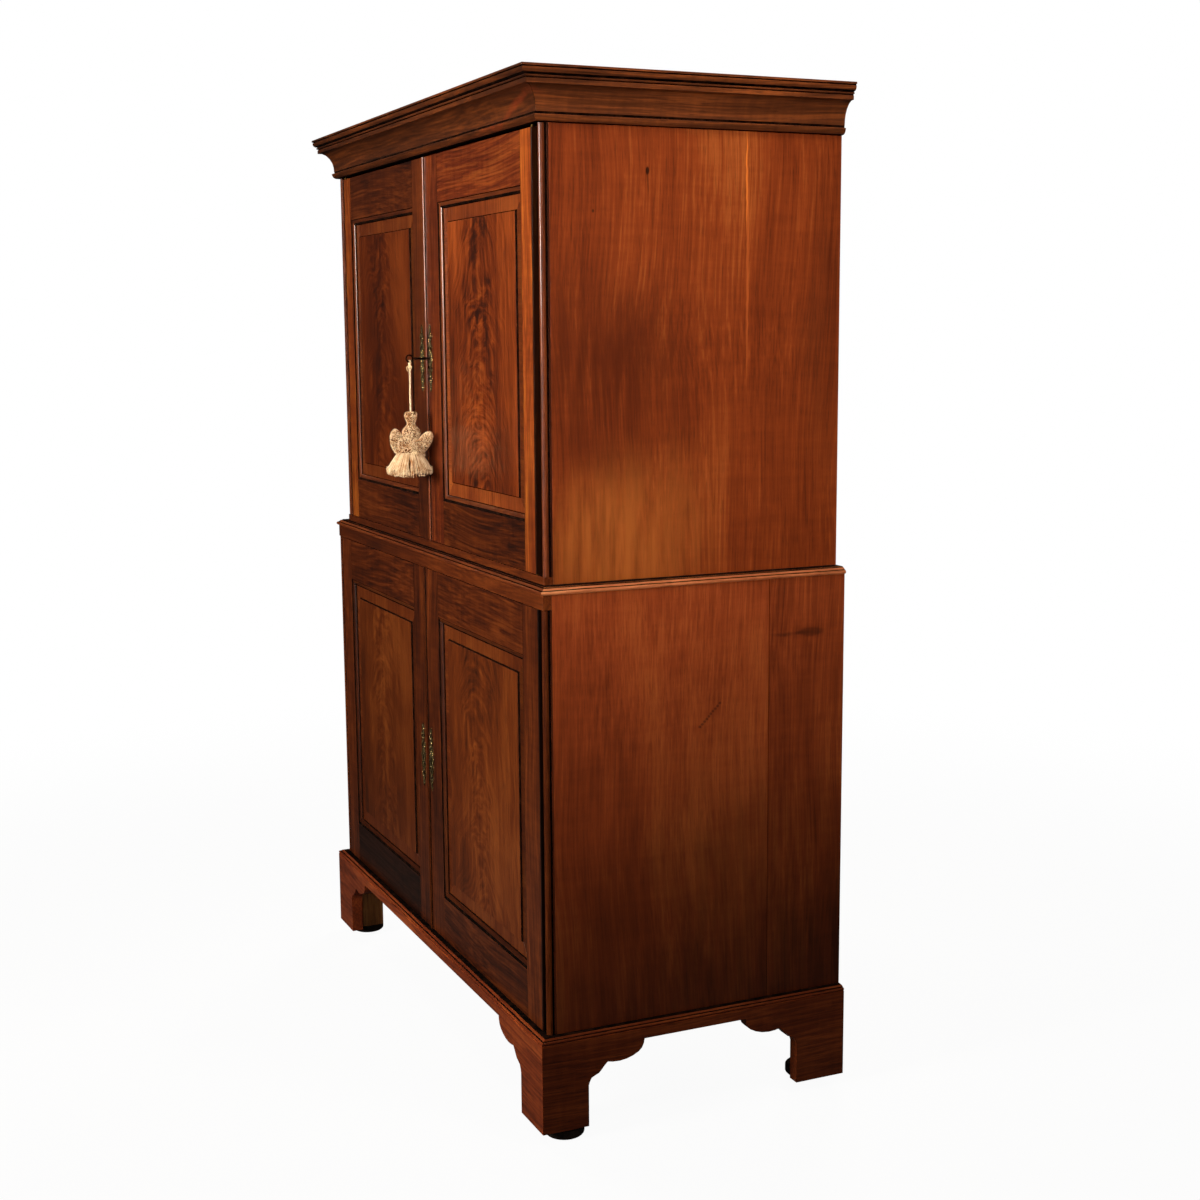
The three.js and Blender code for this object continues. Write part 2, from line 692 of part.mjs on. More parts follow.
// Lock case, bolt and key on the upper right door
function makeLock() {
  const { meeting, key_x, key_z } = lock_place
  const left = meeting + lock_clearance
  const body = block(left, meeting + lock_width, lock_front, lock_back,
    key_z - lock_height / 2, key_z + lock_height / 2)
  const channel = block(left - overrun, bolt_start + bolt_length + bolt_clearance,
    bolt_front - bolt_clearance, bolt_front + bolt_thickness + bolt_clearance,
    bolt_bottom - bolt_clearance, bolt_bottom + bolt_height + bolt_clearance)
  const chamber = spindle(key_x, key_z, lock_front + lock_wall, lock_back + overrun, chamber_radius, 24)
  const hole = keyholeTool(key_x, key_z, lock_front - overrun, lock_front + lock_wall + overrun)
  add('upper_lock_case', cut(body, channel, chamber, hole), iron)

  const notch_start = key_x + bolt_throw - bit_width / 2 - bolt_clearance
  const bolt = block(bolt_start, bolt_start + bolt_length, bolt_front, bolt_front + bolt_thickness,
    bolt_bottom, bolt_bottom + bolt_height)
  const notch = block(notch_start, notch_start + notch_width, bolt_front - overrun,
    bolt_front + bolt_thickness + overrun, bolt_bottom - overrun, bolt_bottom + notch_height)
  add('upper_lock_bolt', cut(bolt, notch), brass)

  const bow_y = -(upper_depth + bow_distance)
  const bit_front = lock_front + lock_wall + bolt_clearance
  const bow = new THREE.TorusGeometry(bow_radius, bow_wire, 8, 24).rotateY(Math.PI / 2)
    .translate(key_x, bow_y, key_z)
  const shank = spindle(key_x, key_z, bow_y + bow_radius, bit_front + bit_length, key_radius, 12)
  const collar_y = -(upper_depth + plate_thickness + bow_distance * collar_place_share)
  const collar = spindle(key_x, key_z, collar_y - key_radius, collar_y, key_radius + bow_wire / 2, 12)
  const bit = block(key_x - bit_width / 2, key_x + bit_width / 2, bit_front, bit_front + bit_length,
    key_z - bit_reach, key_z)
  add('key', join(shank, bow, collar, bit), iron)
}

// The cord's route below the bow: sideways shares of its radius, and shares of the drop
const cord_route_shares = [
  [0, 0, 0], [0.1, 0.05, 0.12], [0.3, 0.1, 0.25], [0.35, 0.05, 0.4], [0.15, -0.1, 0.55],
  [-0.15, -0.1, 0.7], [-0.1, 0, 0.85], [0, 0, 1],
]
// The tassel's turned outline from the top down: head, neck, body, ruff and skirt
const tassel_outline_shares = [
  [0, 0], [0.17, 0.005], [0.235, 0.04], [0.245, 0.09], [0.2, 0.15], [0.15, 0.2], [0.18, 0.24],
  [0.3, 0.27], [0.36, 0.32], [0.55, 0.345], [0.82, 0.36], [0.93, 0.42], [0.9, 0.5], [0.78, 0.6],
  [0.74, 0.66], [0.82, 0.78], [0.94, 0.9], [1, 0.965], [0.97, 1], [0, 1],
]

function makeTassel() {
  const { key_x, key_z } = lock_place
  const y = -(upper_depth + bow_distance)
  const cord_top = key_z - bow_radius - bow_wire - cord_clearance
  const cord_steps_count = 20
  const cord_sides_count = 8
  const route = new THREE.CatmullRomCurve3(cord_route_shares.map(([across, back, down]) =>
    new THREE.Vector3(key_x + across * cord_radius, y + back * cord_radius, cord_top - down * cord_drop)))
  const section = new THREE.Shape()
  for (let i = 0; i < cord_sides_count; i++) {
    const turn = 2 * Math.PI * i / cord_sides_count
    const point = [cord_radius * Math.cos(turn), cord_radius * Math.sin(turn)]
    if (i) section.lineTo(...point)
    else section.moveTo(...point)
  }
  const tube = new THREE.ExtrudeGeometry(section, { steps: cord_steps_count, extrudePath: route })
  add('tassel_cord', tube, linen)

  const top = cord_top - cord_drop - 2 * cord_clearance
  const outline = tassel_outline_shares.map(([out, down]) =>
    new THREE.Vector2(out * tassel_radius, (1 - down) * tassel_height)).reverse()
  const tassel = new THREE.LatheGeometry(outline, 28).rotateX(Math.PI / 2).scale(1, tassel_depth_share, 1)
  add('tassel', tassel, linen).position.set(key_x, y, top - tassel_height)
}

// Sliding trays and the grooved guides that carry them
function makeTrays() {
  const inner = upper_half - side_thickness
  const guide_inner = inner - guide_thickness
  const groove_depth = tray_tongue + tray_clearance
  const groove_height = tray_board + tray_clearance
  const guide_top = upper_top - board_thickness
  const tray_pitch = (guide_top - sill_top - tray_first_rise - tray_top_space) / tray_count
  const levels = Array.from({ length: tray_count }, (_, i) => sill_top + tray_first_rise + i * tray_pitch)
  for (const [hand, side] of [['left', -1], ['right', 1]]) {
    const upright = (y) => block(side * inner, side * (inner - guide_backing), y, y + guide_upright,
      sill_top, guide_top)
    const pieces = [upright(upper_inner_front), upright(-back_thickness - guide_upright)]
    const grooves = []
    for (const level of levels) {
      const middle = level + groove_height / 2
      pieces.push(block(side * inner, side * guide_inner, upper_inner_front, -back_thickness,
        middle - guide_height / 2, middle + guide_height / 2))
      grooves.push(block(side * (guide_inner - overrun), side * (guide_inner + groove_depth),
        upper_inner_front - overrun, -back_thickness + overrun, level, level + groove_height))
    }
    const guide = cut(join(...pieces), ...grooves)
    add(`tray_guide_${hand}`, guide, inner_wood)
  }
  const box_half = guide_inner - tray_clearance
  const board_half = guide_inner + tray_tongue
  const front = upper_inner_front + tray_setback
  const back = -back_thickness - tray_clearance
  levels.forEach((level, i) => {
    const board = block(-board_half, board_half, front, back, level, level + tray_board)
    const walls = [
      block(-box_half, box_half, front, front + tray_wall, level, level + tray_front_height),
      block(-box_half, box_half, back - tray_wall, back, level, level + tray_height),
      block(-box_half, -box_half + tray_wall, front, back, level, level + tray_height),
      block(box_half - tray_wall, box_half, front, back, level, level + tray_height),
    ]
    add(`tray_${i + 1}`, join(board, ...walls), inner_wood)
  })
}

makePlinth()
makeFeet()
makeBaseMoulding()
makeLowerCase()
makeWaistMoulding()
makeUpperCase()
makeCornice()
doors.forEach(makeDoor)
makeLock()
makeTassel()
makeTrays()

// The origin is the middle of the base of the press and its key, on the floor
const front_reach = Math.max(upper_depth + bow_distance + bow_radius + bow_wire,
  upper_depth + cornice_projection, lower_depth + plinth_projection)
part.position.y = front_reach / 2
part.updateMatrixWorld(true)

export default part
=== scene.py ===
"""A two-part mahogany linen press: the finish of its boards, doors, veneers, brass, key and tassel.

Metres, +Z up. The doors face -Y, the middle of the case is at x = 0 and the floor at z = 0.
"""
import json
import math
import random

import bpy
from mathutils import Matrix, Vector


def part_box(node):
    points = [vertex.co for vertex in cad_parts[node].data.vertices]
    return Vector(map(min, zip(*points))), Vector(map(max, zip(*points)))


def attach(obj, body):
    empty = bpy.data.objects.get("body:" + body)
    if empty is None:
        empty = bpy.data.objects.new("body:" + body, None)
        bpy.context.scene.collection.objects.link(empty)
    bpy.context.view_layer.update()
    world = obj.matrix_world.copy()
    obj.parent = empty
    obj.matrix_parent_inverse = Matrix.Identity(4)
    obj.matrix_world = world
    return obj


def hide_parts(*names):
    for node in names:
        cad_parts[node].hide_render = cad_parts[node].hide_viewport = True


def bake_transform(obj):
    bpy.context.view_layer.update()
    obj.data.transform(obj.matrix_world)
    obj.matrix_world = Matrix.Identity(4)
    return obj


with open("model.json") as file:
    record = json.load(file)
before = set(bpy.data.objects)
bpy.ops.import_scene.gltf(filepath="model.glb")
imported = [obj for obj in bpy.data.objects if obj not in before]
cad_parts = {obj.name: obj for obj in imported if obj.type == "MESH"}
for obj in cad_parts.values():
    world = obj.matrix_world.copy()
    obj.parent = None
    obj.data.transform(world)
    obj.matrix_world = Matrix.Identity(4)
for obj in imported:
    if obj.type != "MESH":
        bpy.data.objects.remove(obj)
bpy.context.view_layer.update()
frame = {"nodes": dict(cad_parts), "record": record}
millimetre = 0.001
full_turn = 2 * math.pi

body_of = {node: body for body, nodes in frame["record"]["behaviour"]["bodies"].items() for node in nodes}

# The camera stands where the photograph was taken from
camera_place = (3.5033, -1.4714, 1.5003)
camera_yaw = math.radians(65.7)
camera_pitch = math.radians(-8.8)
camera_roll = math.radians(-0.4)
camera_lens = 52.49
camera_reach = 60

# Limits for merging and flattening a copied solid, and the angle from which an edge counts as sharp
merge_gap = 0.01 * millimetre
flat_angle = math.radians(0.6)
sharp_angle = math.radians(34)

# How wide the rounding of an arris is, and in how many steps it turns
board_arris = 0.8 * millimetre
thin_arris = 0.5 * millimetre
door_arris = 0.45 * millimetre
ring_arris = 0.4 * millimetre
fine_arris = 0.3 * millimetre
crisp_arris = 0.25 * millimetre
metal_arris = 0.2 * millimetre
back_arris = 1.2 * millimetre
glide_arris = 1.5 * millimetre
arris_steps = 2

# A fold inwards of this much, on a face this narrow, holds dark polish and painted shade
hollow_angle = math.radians(16)
quirk_width = 4 * millimetre
joint_reach = 0.6 * millimetre

# A face counts as facing along an axis from this share of its normal on
facing = 0.9

# Places on the press that the frame gives, and how its parts divide
upper_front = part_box("upper_left_door_frame")[0].y
lower_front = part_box("lower_left_door_frame")[0].y
upper_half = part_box("upper_side_right")[1].x
lower_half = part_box("lower_side_right")[1].x
sill_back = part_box("upper_side_right")[0].y
edge_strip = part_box("upper_top")[0].y + 12 * millimetre
column_setback = 14 * millimetre
# How deep at the back of a column's bead the faces are blackened, as painted shade in its recess
neck_shade = 3 * millimetre
fillet_level = 72 * millimetre
bead_reach = 10 * millimetre
side_joint = 0.168
board_joints = [-0.04, 0.15]
back_shares = (-0.62, -0.24, 0.12, 0.55)

# The doors: how far the panel sits in its frame, its border, and the sunk moulding's reach and the parts of
# it blackened as painted shade
panel_seat = 5.3 * millimetre
panel_border = 34.7 * millimetre
moulding_reach = 15.6 * millimetre
steep = 0.45
quirk_reach = 5 * millimetre
line_reach = 2.6 * millimetre
shaded_part = 7.6 * millimetre
plume_share = 0.46

tray_board = 9 * millimetre
tray_wall = 12 * millimetre
tray_joint = 3 * millimetre


def place_camera():
    camera = bpy.data.objects.new("camera", bpy.data.cameras.new("camera"))
    bpy.context.scene.collection.objects.link(camera)
    camera.data.lens = camera_lens
    camera.data.clip_end = camera_reach
    camera.matrix_world = (
        Matrix.Translation(camera_place)
        @ Matrix.Rotation(camera_yaw, 4, "Z")
        @ Matrix.Rotation(math.pi / 2 + camera_pitch, 4, "X")
        @ Matrix.Rotation(camera_roll, 4, "Z")
    )
    bpy.context.scene.camera = camera


def only(*pieces):
    """Selects these pieces and nothing else, with the first one active."""
    bpy.ops.object.select_all(action="DESELECT")
    for piece in pieces:
        piece.select_set(True)
    bpy.context.view_layer.objects.active = pieces[0]


def carve(node, name, cuts=()):
    """A copy of a node's solid with what lies beyond each cut, a point and a normal, taken off."""
    piece = bpy.data.objects.new(name, frame["nodes"][node].data.copy())
    bpy.context.scene.collection.objects.link(piece)
    piece.data.materials.clear()
    only(piece)
    bpy.ops.object.mode_set(mode="EDIT")
    bpy.ops.mesh.select_all(action="SELECT")
    bpy.ops.mesh.remove_doubles(threshold=merge_gap)
    for point, normal in cuts:
        bpy.ops.mesh.select_all(action="SELECT")
        bpy.ops.mesh.bisect(plane_co=point, plane_no=normal, use_fill=True, clear_outer=True)
    bpy.ops.mesh.select_all(action="SELECT")
    bpy.ops.mesh.dissolve_limited(angle_limit=flat_angle)
    bpy.ops.mesh.normals_make_consistent(inside=False)
    bpy.ops.object.mode_set(mode="OBJECT")
    return piece


def beyond(axis, value, way):
    """A cut that takes off what lies past a value along an axis, on the side that way points to."""
    index = "xyz".index(axis)
    point, normal = [0, 0, 0], [0, 0, 0]
    point[index] = value
    normal[index] = way
    return point, normal


def within(**spans):
    """Cuts that leave only what lies between two values along each axis given; None leaves an end."""
    return [beyond(axis, value, way) for axis, ends in spans.items()
            for value, way in zip(ends, (-1, 1)) if value is not None]


def joined(*pieces):
    only(*pieces)
    bpy.ops.object.join()
    return pieces[0]


def soften(piece, width):
    """Rounds a piece's arrises, and marks the narrow faces that this makes as worn or as hollow."""
    only(piece)
    slots = piece.data.materials
    slots.clear()
    for name in ("body", "arris"):
        slots.append(bpy.data.materials.get(name) or bpy.data.materials.new(name))
    for face in piece.data.polygons:
        face.material_index = 0
    bevel = piece.modifiers.new("arris", "BEVEL")
    bevel.limit_method = "ANGLE"
    bevel.angle_limit = sharp_angle
    bevel.width = width
    bevel.segments = arris_steps
    bevel.material = 1
    bpy.ops.object.modifier_apply(modifier=bevel.name)
    mark_age(piece.data)
    bpy.ops.object.shade_smooth_by_angle(angle=sharp_angle)
    flat = piece.modifiers.new("flat", "WEIGHTED_NORMAL")
    flat.keep_sharp = True
    bpy.ops.object.modifier_apply(modifier=flat.name)
    slots.clear()


def mark_age(mesh):
    """Marks the faces of outer arrises as rubbed, and those in hollows and narrow quirks for dark polish and
    painted shade.
    """
    pairs = {}
    for face in mesh.polygons:
        for key in face.edge_keys:
            pairs.setdefault(key, []).append(face)
    darkened_faces = set()
    for faces in pairs.values():
        if len(faces) != 2:
            continue
        one, other = faces
        turn = one.normal.angle(other.normal, 0)
        if turn > hollow_angle and one.normal.dot(other.center - one.center) > 0:
            for face in faces:
                longest = max((mesh.vertices[a].co - mesh.vertices[b].co).length for a, b in face.edge_keys)
                if face.area / longest < quirk_width:
                    darkened_faces.add(face.index)
    arris = mesh.attributes.new("arris", "FLOAT", "FACE")
    hollow = mesh.attributes.new("hollow", "FLOAT", "FACE")
    for face in mesh.polygons:
        deep = face.index in darkened_faces
        hollow.data[face.index].value = float(deep)
        arris.data[face.index].value = 0.0 if deep else face.material_index
        face.material_index = 0


def stain(piece, black=None, seams=None):
    """Blackens the faces that a test on centre and normal picks, as painted shade, and the narrow ones
    beside joints.
    """
    axis, *places = seams or ("x",)
    index = "xyz".index(axis)
    hollow = piece.data.attributes["hollow"].data
    for face in piece.data.polygons:
        at_joint = any(abs(face.center[index] - place) < joint_reach for place in places)
        if at_joint or (black and black(face.center, face.normal)):
            hollow[face.index].value = 1.0


def dress(piece, material, node):
    """Gives a piece its finish, and puts it on the body of the node that it stands for."""
    piece.data.materials.clear()
    piece.data.materials.append(material)
    if "hollow" in piece.data.attributes:
        piece.data.materials.append(wax_and_painted_shade)
        for face, mark in zip(piece.data.polygons, piece.data.attributes["hollow"].data):
            face.material_index = 1 if mark.value > 0.5 else 0
    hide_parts(node)
    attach(piece, body_of[node])
    return piece


def member(node, part, material, cuts=(), width=board_arris, black=None, seams=None):
    """One piece of a node, cut out of its solid, softened, stained and dressed."""
    piece = carve(node, f"{node}_{part}", cuts)
    soften(piece, width)
    stain(piece, black, seams)
    dress(piece, material, node)


# Shader nodes. A node goes to the tree of the sockets that feed it.
def add_node(tree, kind, inputs=None, **settings):
    """A node with its settings, and its inputs set to values or linked to sockets."""
    made = tree.nodes.new("ShaderNode" + kind)
    for name, value in settings.items():
        setattr(made, name, value)
    for key, value in (inputs or {}).items():
        if isinstance(value, bpy.types.NodeSocket):
            tree.links.new(value, made.inputs[key])
        else:
            made.inputs[key].default_value = value
    return made


def fed_node(kind, inputs, **settings):
    tree = next(value.id_data for value in inputs.values() if isinstance(value, bpy.types.NodeSocket))
    return add_node(tree, kind, inputs, **settings)


def link(source, target):
    target.id_data.links.new(source, target)


def calc(operation, *values, clamp=False):
    return fed_node("Math", dict(enumerate(values)), operation=operation, use_clamp=clamp).outputs[0]


def times(first, *others, clamp=False):
    for other in others:
        first = calc("MULTIPLY", first, other, clamp=clamp)
    return first


def times_plus(value, factor, added, clamp=False):
    return calc("MULTIPLY_ADD", value, factor, added, clamp=clamp)


def total(first, *others, clamp=False):
    for number, other in enumerate(others):
        first = calc("ADD", first, other, clamp=clamp and number == len(others) - 1)
    return first


def about(value, share):
    """How far a value is from a half, times a share."""
    return times(calc("SUBTRACT", value, 0.5), share)


def span(value, low, high, to_low=0.0, to_high=1.0, kind="LINEAR"):
    """Maps a value from one span to another, clamped."""
    inputs = {"Value": value, "From Min": low, "From Max": high, "To Min": to_low, "To Max": to_high}
    return fed_node("MapRange", inputs, interpolation_type=kind).outputs[0]


def blend(factor, one, other, kind="MIX"):
    return fed_node("Mix", {0: factor, 6: one, 7: other}, data_type="RGBA", blend_type=kind).outputs[2]


def vector_calc(operation, *values):
    return fed_node("VectorMath", dict(enumerate(values)), operation=operation)


def stretch(vector, x, y, z):
    return vector_calc("MULTIPLY", vector, (x, y, z)).outputs[0]


def along(vector, share):
    """The vector with its step along the grain made shorter, which draws a pattern out that way."""
    return stretch(vector, 1, 1, share)


def speckle(vector, scale, detail=2.0, roughness=0.5, distortion=0.0):
    inputs = {"Vector": vector, "Scale": scale, "Detail": detail, "Roughness": roughness,
              "Distortion": distortion}
    return fed_node("TexNoise", inputs).outputs[0]


def sway(vector, scale, *reach):
    """The vector moved about slowly by up to half of its reach along x, y and z."""
    drift = fed_node("TexNoise", {"Vector": vector, "Scale": scale, "Detail": 1.0}).outputs[1]
    drift = vector_calc("SUBTRACT", drift, (0.5, 0.5, 0.5)).outputs[0]
    return vector_calc("MULTIPLY_ADD", drift, reach, vector).outputs[0]


def mask_near(where, centre, size, soft):
    """1 at a place on the wood, falling to 0 at its size along each axis."""
    off = vector_calc("SUBTRACT", where, centre).outputs[0]
    away = vector_calc("LENGTH", stretch(off, *(1 / length for length in size))).outputs["Value"]
    return span(away, 1 - soft, 1.0, 1.0, 0.0, "SMOOTHSTEP")


def new_group(name, inputs, outputs):
    tree = bpy.data.node_groups.new(name, "ShaderNodeTree")
    for label, kind, *value in inputs:
        socket = tree.interface.new_socket(label, in_out="INPUT", socket_type="NodeSocket" + kind)
        if value:
            socket.default_value = value[0]
    for label, kind in outputs:
        tree.interface.new_socket(label, in_out="OUTPUT", socket_type="NodeSocket" + kind)
    return tree, tree.nodes.new("NodeGroupInput").outputs, tree.nodes.new("NodeGroupOutput").inputs


def new_material(name):
    """A material with its tree, the coordinates of its object and its shader."""
    material = bpy.data.materials.new(name)
    material.use_nodes = True
    tree = material.node_tree
    return material, tree, add_node(tree, "TexCoord").outputs["Object"], tree.nodes["Principled BSDF"]


def set_shader(shader, color, roughness, **constants):
    link(color, shader.inputs["Base Color"])
    link(roughness, shader.inputs["Roughness"])
    for label, value in constants.items():
        shader.inputs[label.replace("_", " ")].default_value = value


def set_bump(shader, height, strength, distance):
    bump = fed_node("Bump", {"Height": height, "Strength": strength, "Distance": distance})
    link(bump.outputs[0], shader.inputs["Normal"])


# Noise recipes: scale, detail, roughness and distortion
band_noise = 17, 4, 0.6
streak_noise = 210, 4, 0.65
patch_noise = 4.2, 4, 0.6, 0.3
ripple_noise = 1, 3, 0.6
pore_noise = 460, 3, 0.65
feather_noise = 80, 4, 0.62
curl_noise = 24, 4, 0.6, 0.5
smoke_noise = 15, 4, 0.62, 0.4
flame_streak_noise = 190, 4, 0.65
flame_band_noise = 22, 2, 0.5
flame_patch_noise = 4.2, 2
polish_noise = 30, 4, 0.65
wax_noise = 60, 4, 0.65
mark_noise = 60, 3

# How far each pattern is drawn out along the grain
bend_draw = 0.6
band_draw = 0.12
streak_draw = 0.03
patch_draw = 0.4
pore_draw = 0.06

pore_black = (0.015, 0.004, 0.002, 1)
polish_and_shade_black = (0.004, 0.002, 0.001, 1)
wax_and_shade_black = (0.003, 0.0015, 0.001, 1)
wax_and_shade_brown = (0.022, 0.008, 0.004, 1)
rubbed_gain = (2.2, 2.0, 1.7, 1)

wood_inputs = [("Vector", "Vector"), ("Dark", "Color"), ("Middle", "Color"), ("Light", "Color"),
               ("Contrast", "Float", 1.0), ("Patches", "Float", 1.0), ("Pores", "Float", 0.75)]
wood_outputs = [("Color", "Color"), ("Roughness", "Float"), ("Height", "Float")]


def finish_wood(given, out, value):
    """Tones from dark to light by a value, with the open pores of the wood over them."""
    low = blend(times(value, 2.0, clamp=True), given["Dark"], given["Middle"])
    color = blend(times_plus(value, 2.0, -1.0, clamp=True), low, given["Light"])
    fine = speckle(along(given["Vector"], pore_draw), *pore_noise)
    pores = times(span(fine, 0.54, 0.68), given["Pores"])
    link(blend(pores, color, blend(0.8, color, pore_black)), out["Color"])
    link(span(value, 0.2, 0.8, 0.4, 0.28), out["Roughness"])
    link(times(pores, -1.0), out["Height"])


def make_grain_group():
    """Straight-grained mahogany along Z: slow patches, bands, fine streaks and a faint cross ripple."""
    tree, given, out = new_group("straight_grain", wood_inputs, wood_outputs)
    bent = sway(along(given["Vector"], bend_draw), 2.6, 0.09, 0.09, 0)
    bands = speckle(along(bent, band_draw), *band_noise)
    streaks = speckle(along(bent, streak_draw), *streak_noise)
    patches = speckle(along(bent, patch_draw), *patch_noise)
    ripple = speckle(stretch(given["Vector"], 9, 9, 70), *ripple_noise)
    value = times(total(about(bands, 0.8), about(streaks, 1.5), about(ripple, 0.3)), given["Contrast"])
    slow = times(about(patches, 1.6), given["Patches"])
    finish_wood(given, out, total(value, slow, 0.5, clamp=True))
    return tree


def make_flame_group():
    """Crotch figure round a plume up the middle: nested arches that run out into upright streaks."""
    tree, given, out = new_group("flame_figure", wood_inputs + [("Smoke", "Float", 1.0)], wood_outputs)
    vector = given["Vector"]
    moved = sway(vector, 5.5, 0.11, 0, 0.2)
    moved = sway(moved, 19, 0.016, 0, 0.05)
    parts = fed_node("SeparateXYZ", {0: moved})
    across, up = parts.outputs[0], parts.outputs[2]
    side = calc("SQRT", times_plus(across, across, 0.0002))
    arch = times_plus(calc("POWER", side, 2.3), 16.0, up)
    path = fed_node("CombineXYZ", {0: arch, 1: times(across, 0.3)}).outputs[0]
    broken = fed_node("CombineXYZ", {0: arch, 1: times(across, 1.6)}).outputs[0]
    plume = span(side, 0.03, 0.12, 1.0, 0.0, "SMOOTHSTEP")
    feather = times(about(speckle(path, *feather_noise), 1.8), span(plume, 0, 1, 0.6, 1))
    curls = times(about(speckle(broken, *curl_noise), 0.9), span(plume, 0, 1, 0.3, 1))
    streaks = about(speckle(along(vector, streak_draw), *flame_streak_noise), 1.2)
    bands = about(speckle(along(moved, band_draw), *flame_band_noise), 0.8)
    value = times(total(feather, curls, streaks, bands), given["Contrast"])
    upper = span(up, -0.18, 0.06, 0.12, 1.0, "SMOOTHSTEP")
    smoke = span(speckle(broken, *smoke_noise), 0.42, 0.62, 0.0, 0.62)
    dark = times(times(smoke, times(plume, upper)), given["Smoke"])
    # Painted light: the field grows lighter towards its right
    slope = span(across, -0.2, 0.2, -0.07, 0.09)
    patches = times(about(speckle(vector, *flame_patch_noise), 1.0), given["Patches"])
    finish_wood(given, out, calc("SUBTRACT", total(value, slope, patches, 0.54), dark, clamp=True))
    return tree


def make_age_group():
    """Rubbed arrises, and dark old polish with painted shade in the hollows, over any colour."""
    inputs = [("Color", "Color"), ("Vector", "Vector"), ("Roughness", "Float", 0.3), ("Arris", "Float", 0.0),
              ("Hollow", "Float", 0.0), ("Wear", "Float", 0.6), ("Grime", "Float", 0.8)]
    outputs = [("Color", "Color"), ("Roughness", "Float"), ("Bright", "Float")]
    tree, given, out = new_group("old_polish", inputs, outputs)
    patches = speckle(given["Vector"], *polish_noise)
    rubbed = times(given["Arris"], span(patches, 0.4, 0.6), given["Wear"])
    color = blend(rubbed, given["Color"], blend(1.0, given["Color"], rubbed_gain, "MULTIPLY"))
    deep = times(given["Hollow"], span(patches, 0.3, 0.7, 0.7, 1.0), given["Grime"])
    link(blend(deep, color, polish_and_shade_black), out["Color"])
    link(calc("SUBTRACT", 1.0, deep), out["Bright"])
    link(times_plus(rubbed, 0.1, times_plus(deep, 0.6, given["Roughness"])), out["Roughness"])
    return tree


grain_group = make_grain_group()
flame_group = make_flame_group()
age_group = make_age_group()

grain_turns = {"x": (0.0, -math.pi / 2, 0.0), "y": (math.pi / 2, 0.0, 0.0), "z": (0.0, 0.0, 0.0)}


def tone(red, green, blue, shade=1.0):
    """A colour named by its screen values from 0 to 255, made lighter or darker by a factor."""
    def linear(value):
        share = value / 255
        return share / 12.92 if share <= 0.04045 else ((share + 0.055) / 1.055) ** 2.4
    return tuple(linear(value) * shade for value in (red, green, blue)) + (1.0,)


def make_wax_and_shade():
    """Black wax and dirt in quirks, joints and gaps, also used as painted shade in quirks, gaps, undersides
    and recesses.
    """
    material, _, where, shader = new_material("wax_and_painted_shade")
    patches = speckle(where, *wax_noise)
    set_shader(shader, blend(span(patches, 0.45, 0.7), wax_and_shade_black, wax_and_shade_brown),
               span(patches, 0.4, 0.7, 0.95, 0.8), Specular_IOR_Level=0.04)
    return material


wax_and_painted_shade = make_wax_and_shade()

# Marks on the wood wider than this drift along the grain, up to a limit, and fade softly
wide_mark = 0.05
whole_side = 0.9
drift_limit = 0.3
mark_sway = 40, 0.004, 0.004, 0.004
hard_edge, soft_edge = 0.5, 0.85


def mark_wood(where, color, centre, size, mark, share):
    """The colour with a single place on the wood in another tone, by a share."""
    moved = sway(where, *mark_sway)
    if size[1] > wide_mark:
        drift = min(size[1], drift_limit)
        streaks = speckle(along(where, band_draw), *mark_noise)
        moved = sway(moved, 6, 0, drift, drift)
        least = 0.35 if size[1] < whole_side else 0.8
        share = times(span(streaks, 0.34, 0.62, least, 1.0), share)
    there = mask_near(moved, centre, size, hard_edge if size[1] < wide_mark else soft_edge)
    return blend(times(there, share), color, tone(*mark))


def wood(name, tones, grain="z", shift=(0, 0, 0), figure=None, coat=0.3, wear=0.6, grime=0.85, marks=(),
         shade=1.0, sheen=0.3, gloss=0.17, **values):
    """A polished wood. Its figure is a shared group, with the grain turned to the axis given.

    marks are single places where the tone differs, some of them painted light or shade: centre, size, colour
    and how much of it.
    """
    material, tree, where, shader = new_material(name)
    turned = {"Vector": where, "Location": shift, "Rotation": grain_turns[grain]}
    vector = fed_node("Mapping", turned).outputs[0]
    figured = add_node(tree, "Group", node_tree=figure or grain_group)
    link(vector, figured.inputs["Vector"])
    for label, color in zip(("Dark", "Middle", "Light"), tones):
        figured.inputs[label].default_value = tone(*color, shade)
    for label, value in values.items():
        figured.inputs[label.capitalize()].default_value = value
    color = figured.outputs["Color"]
    for mark in marks:
        color = mark_wood(where, color, *mark)
    age = add_node(tree, "Group", node_tree=age_group)
    given = {"Color": color, "Roughness": figured.outputs["Roughness"], "Vector": vector,
             "Arris": add_node(tree, "Attribute", attribute_name="arris").outputs["Fac"],
             "Hollow": add_node(tree, "Attribute", attribute_name="hollow").outputs["Fac"]}
    for label, socket in given.items():
        link(socket, age.inputs[label])
    age.inputs["Wear"].default_value = wear
    age.inputs["Grime"].default_value = grime
    set_shader(shader, age.outputs["Color"], age.outputs["Roughness"],
               Coat_Roughness=gloss, Specular_IOR_Level=sheen)
    set_bump(shader, figured.outputs["Height"], 0.25, 0.0002)
    link(times(age.outputs["Bright"], coat), shader.inputs["Coat Weight"])
    return material


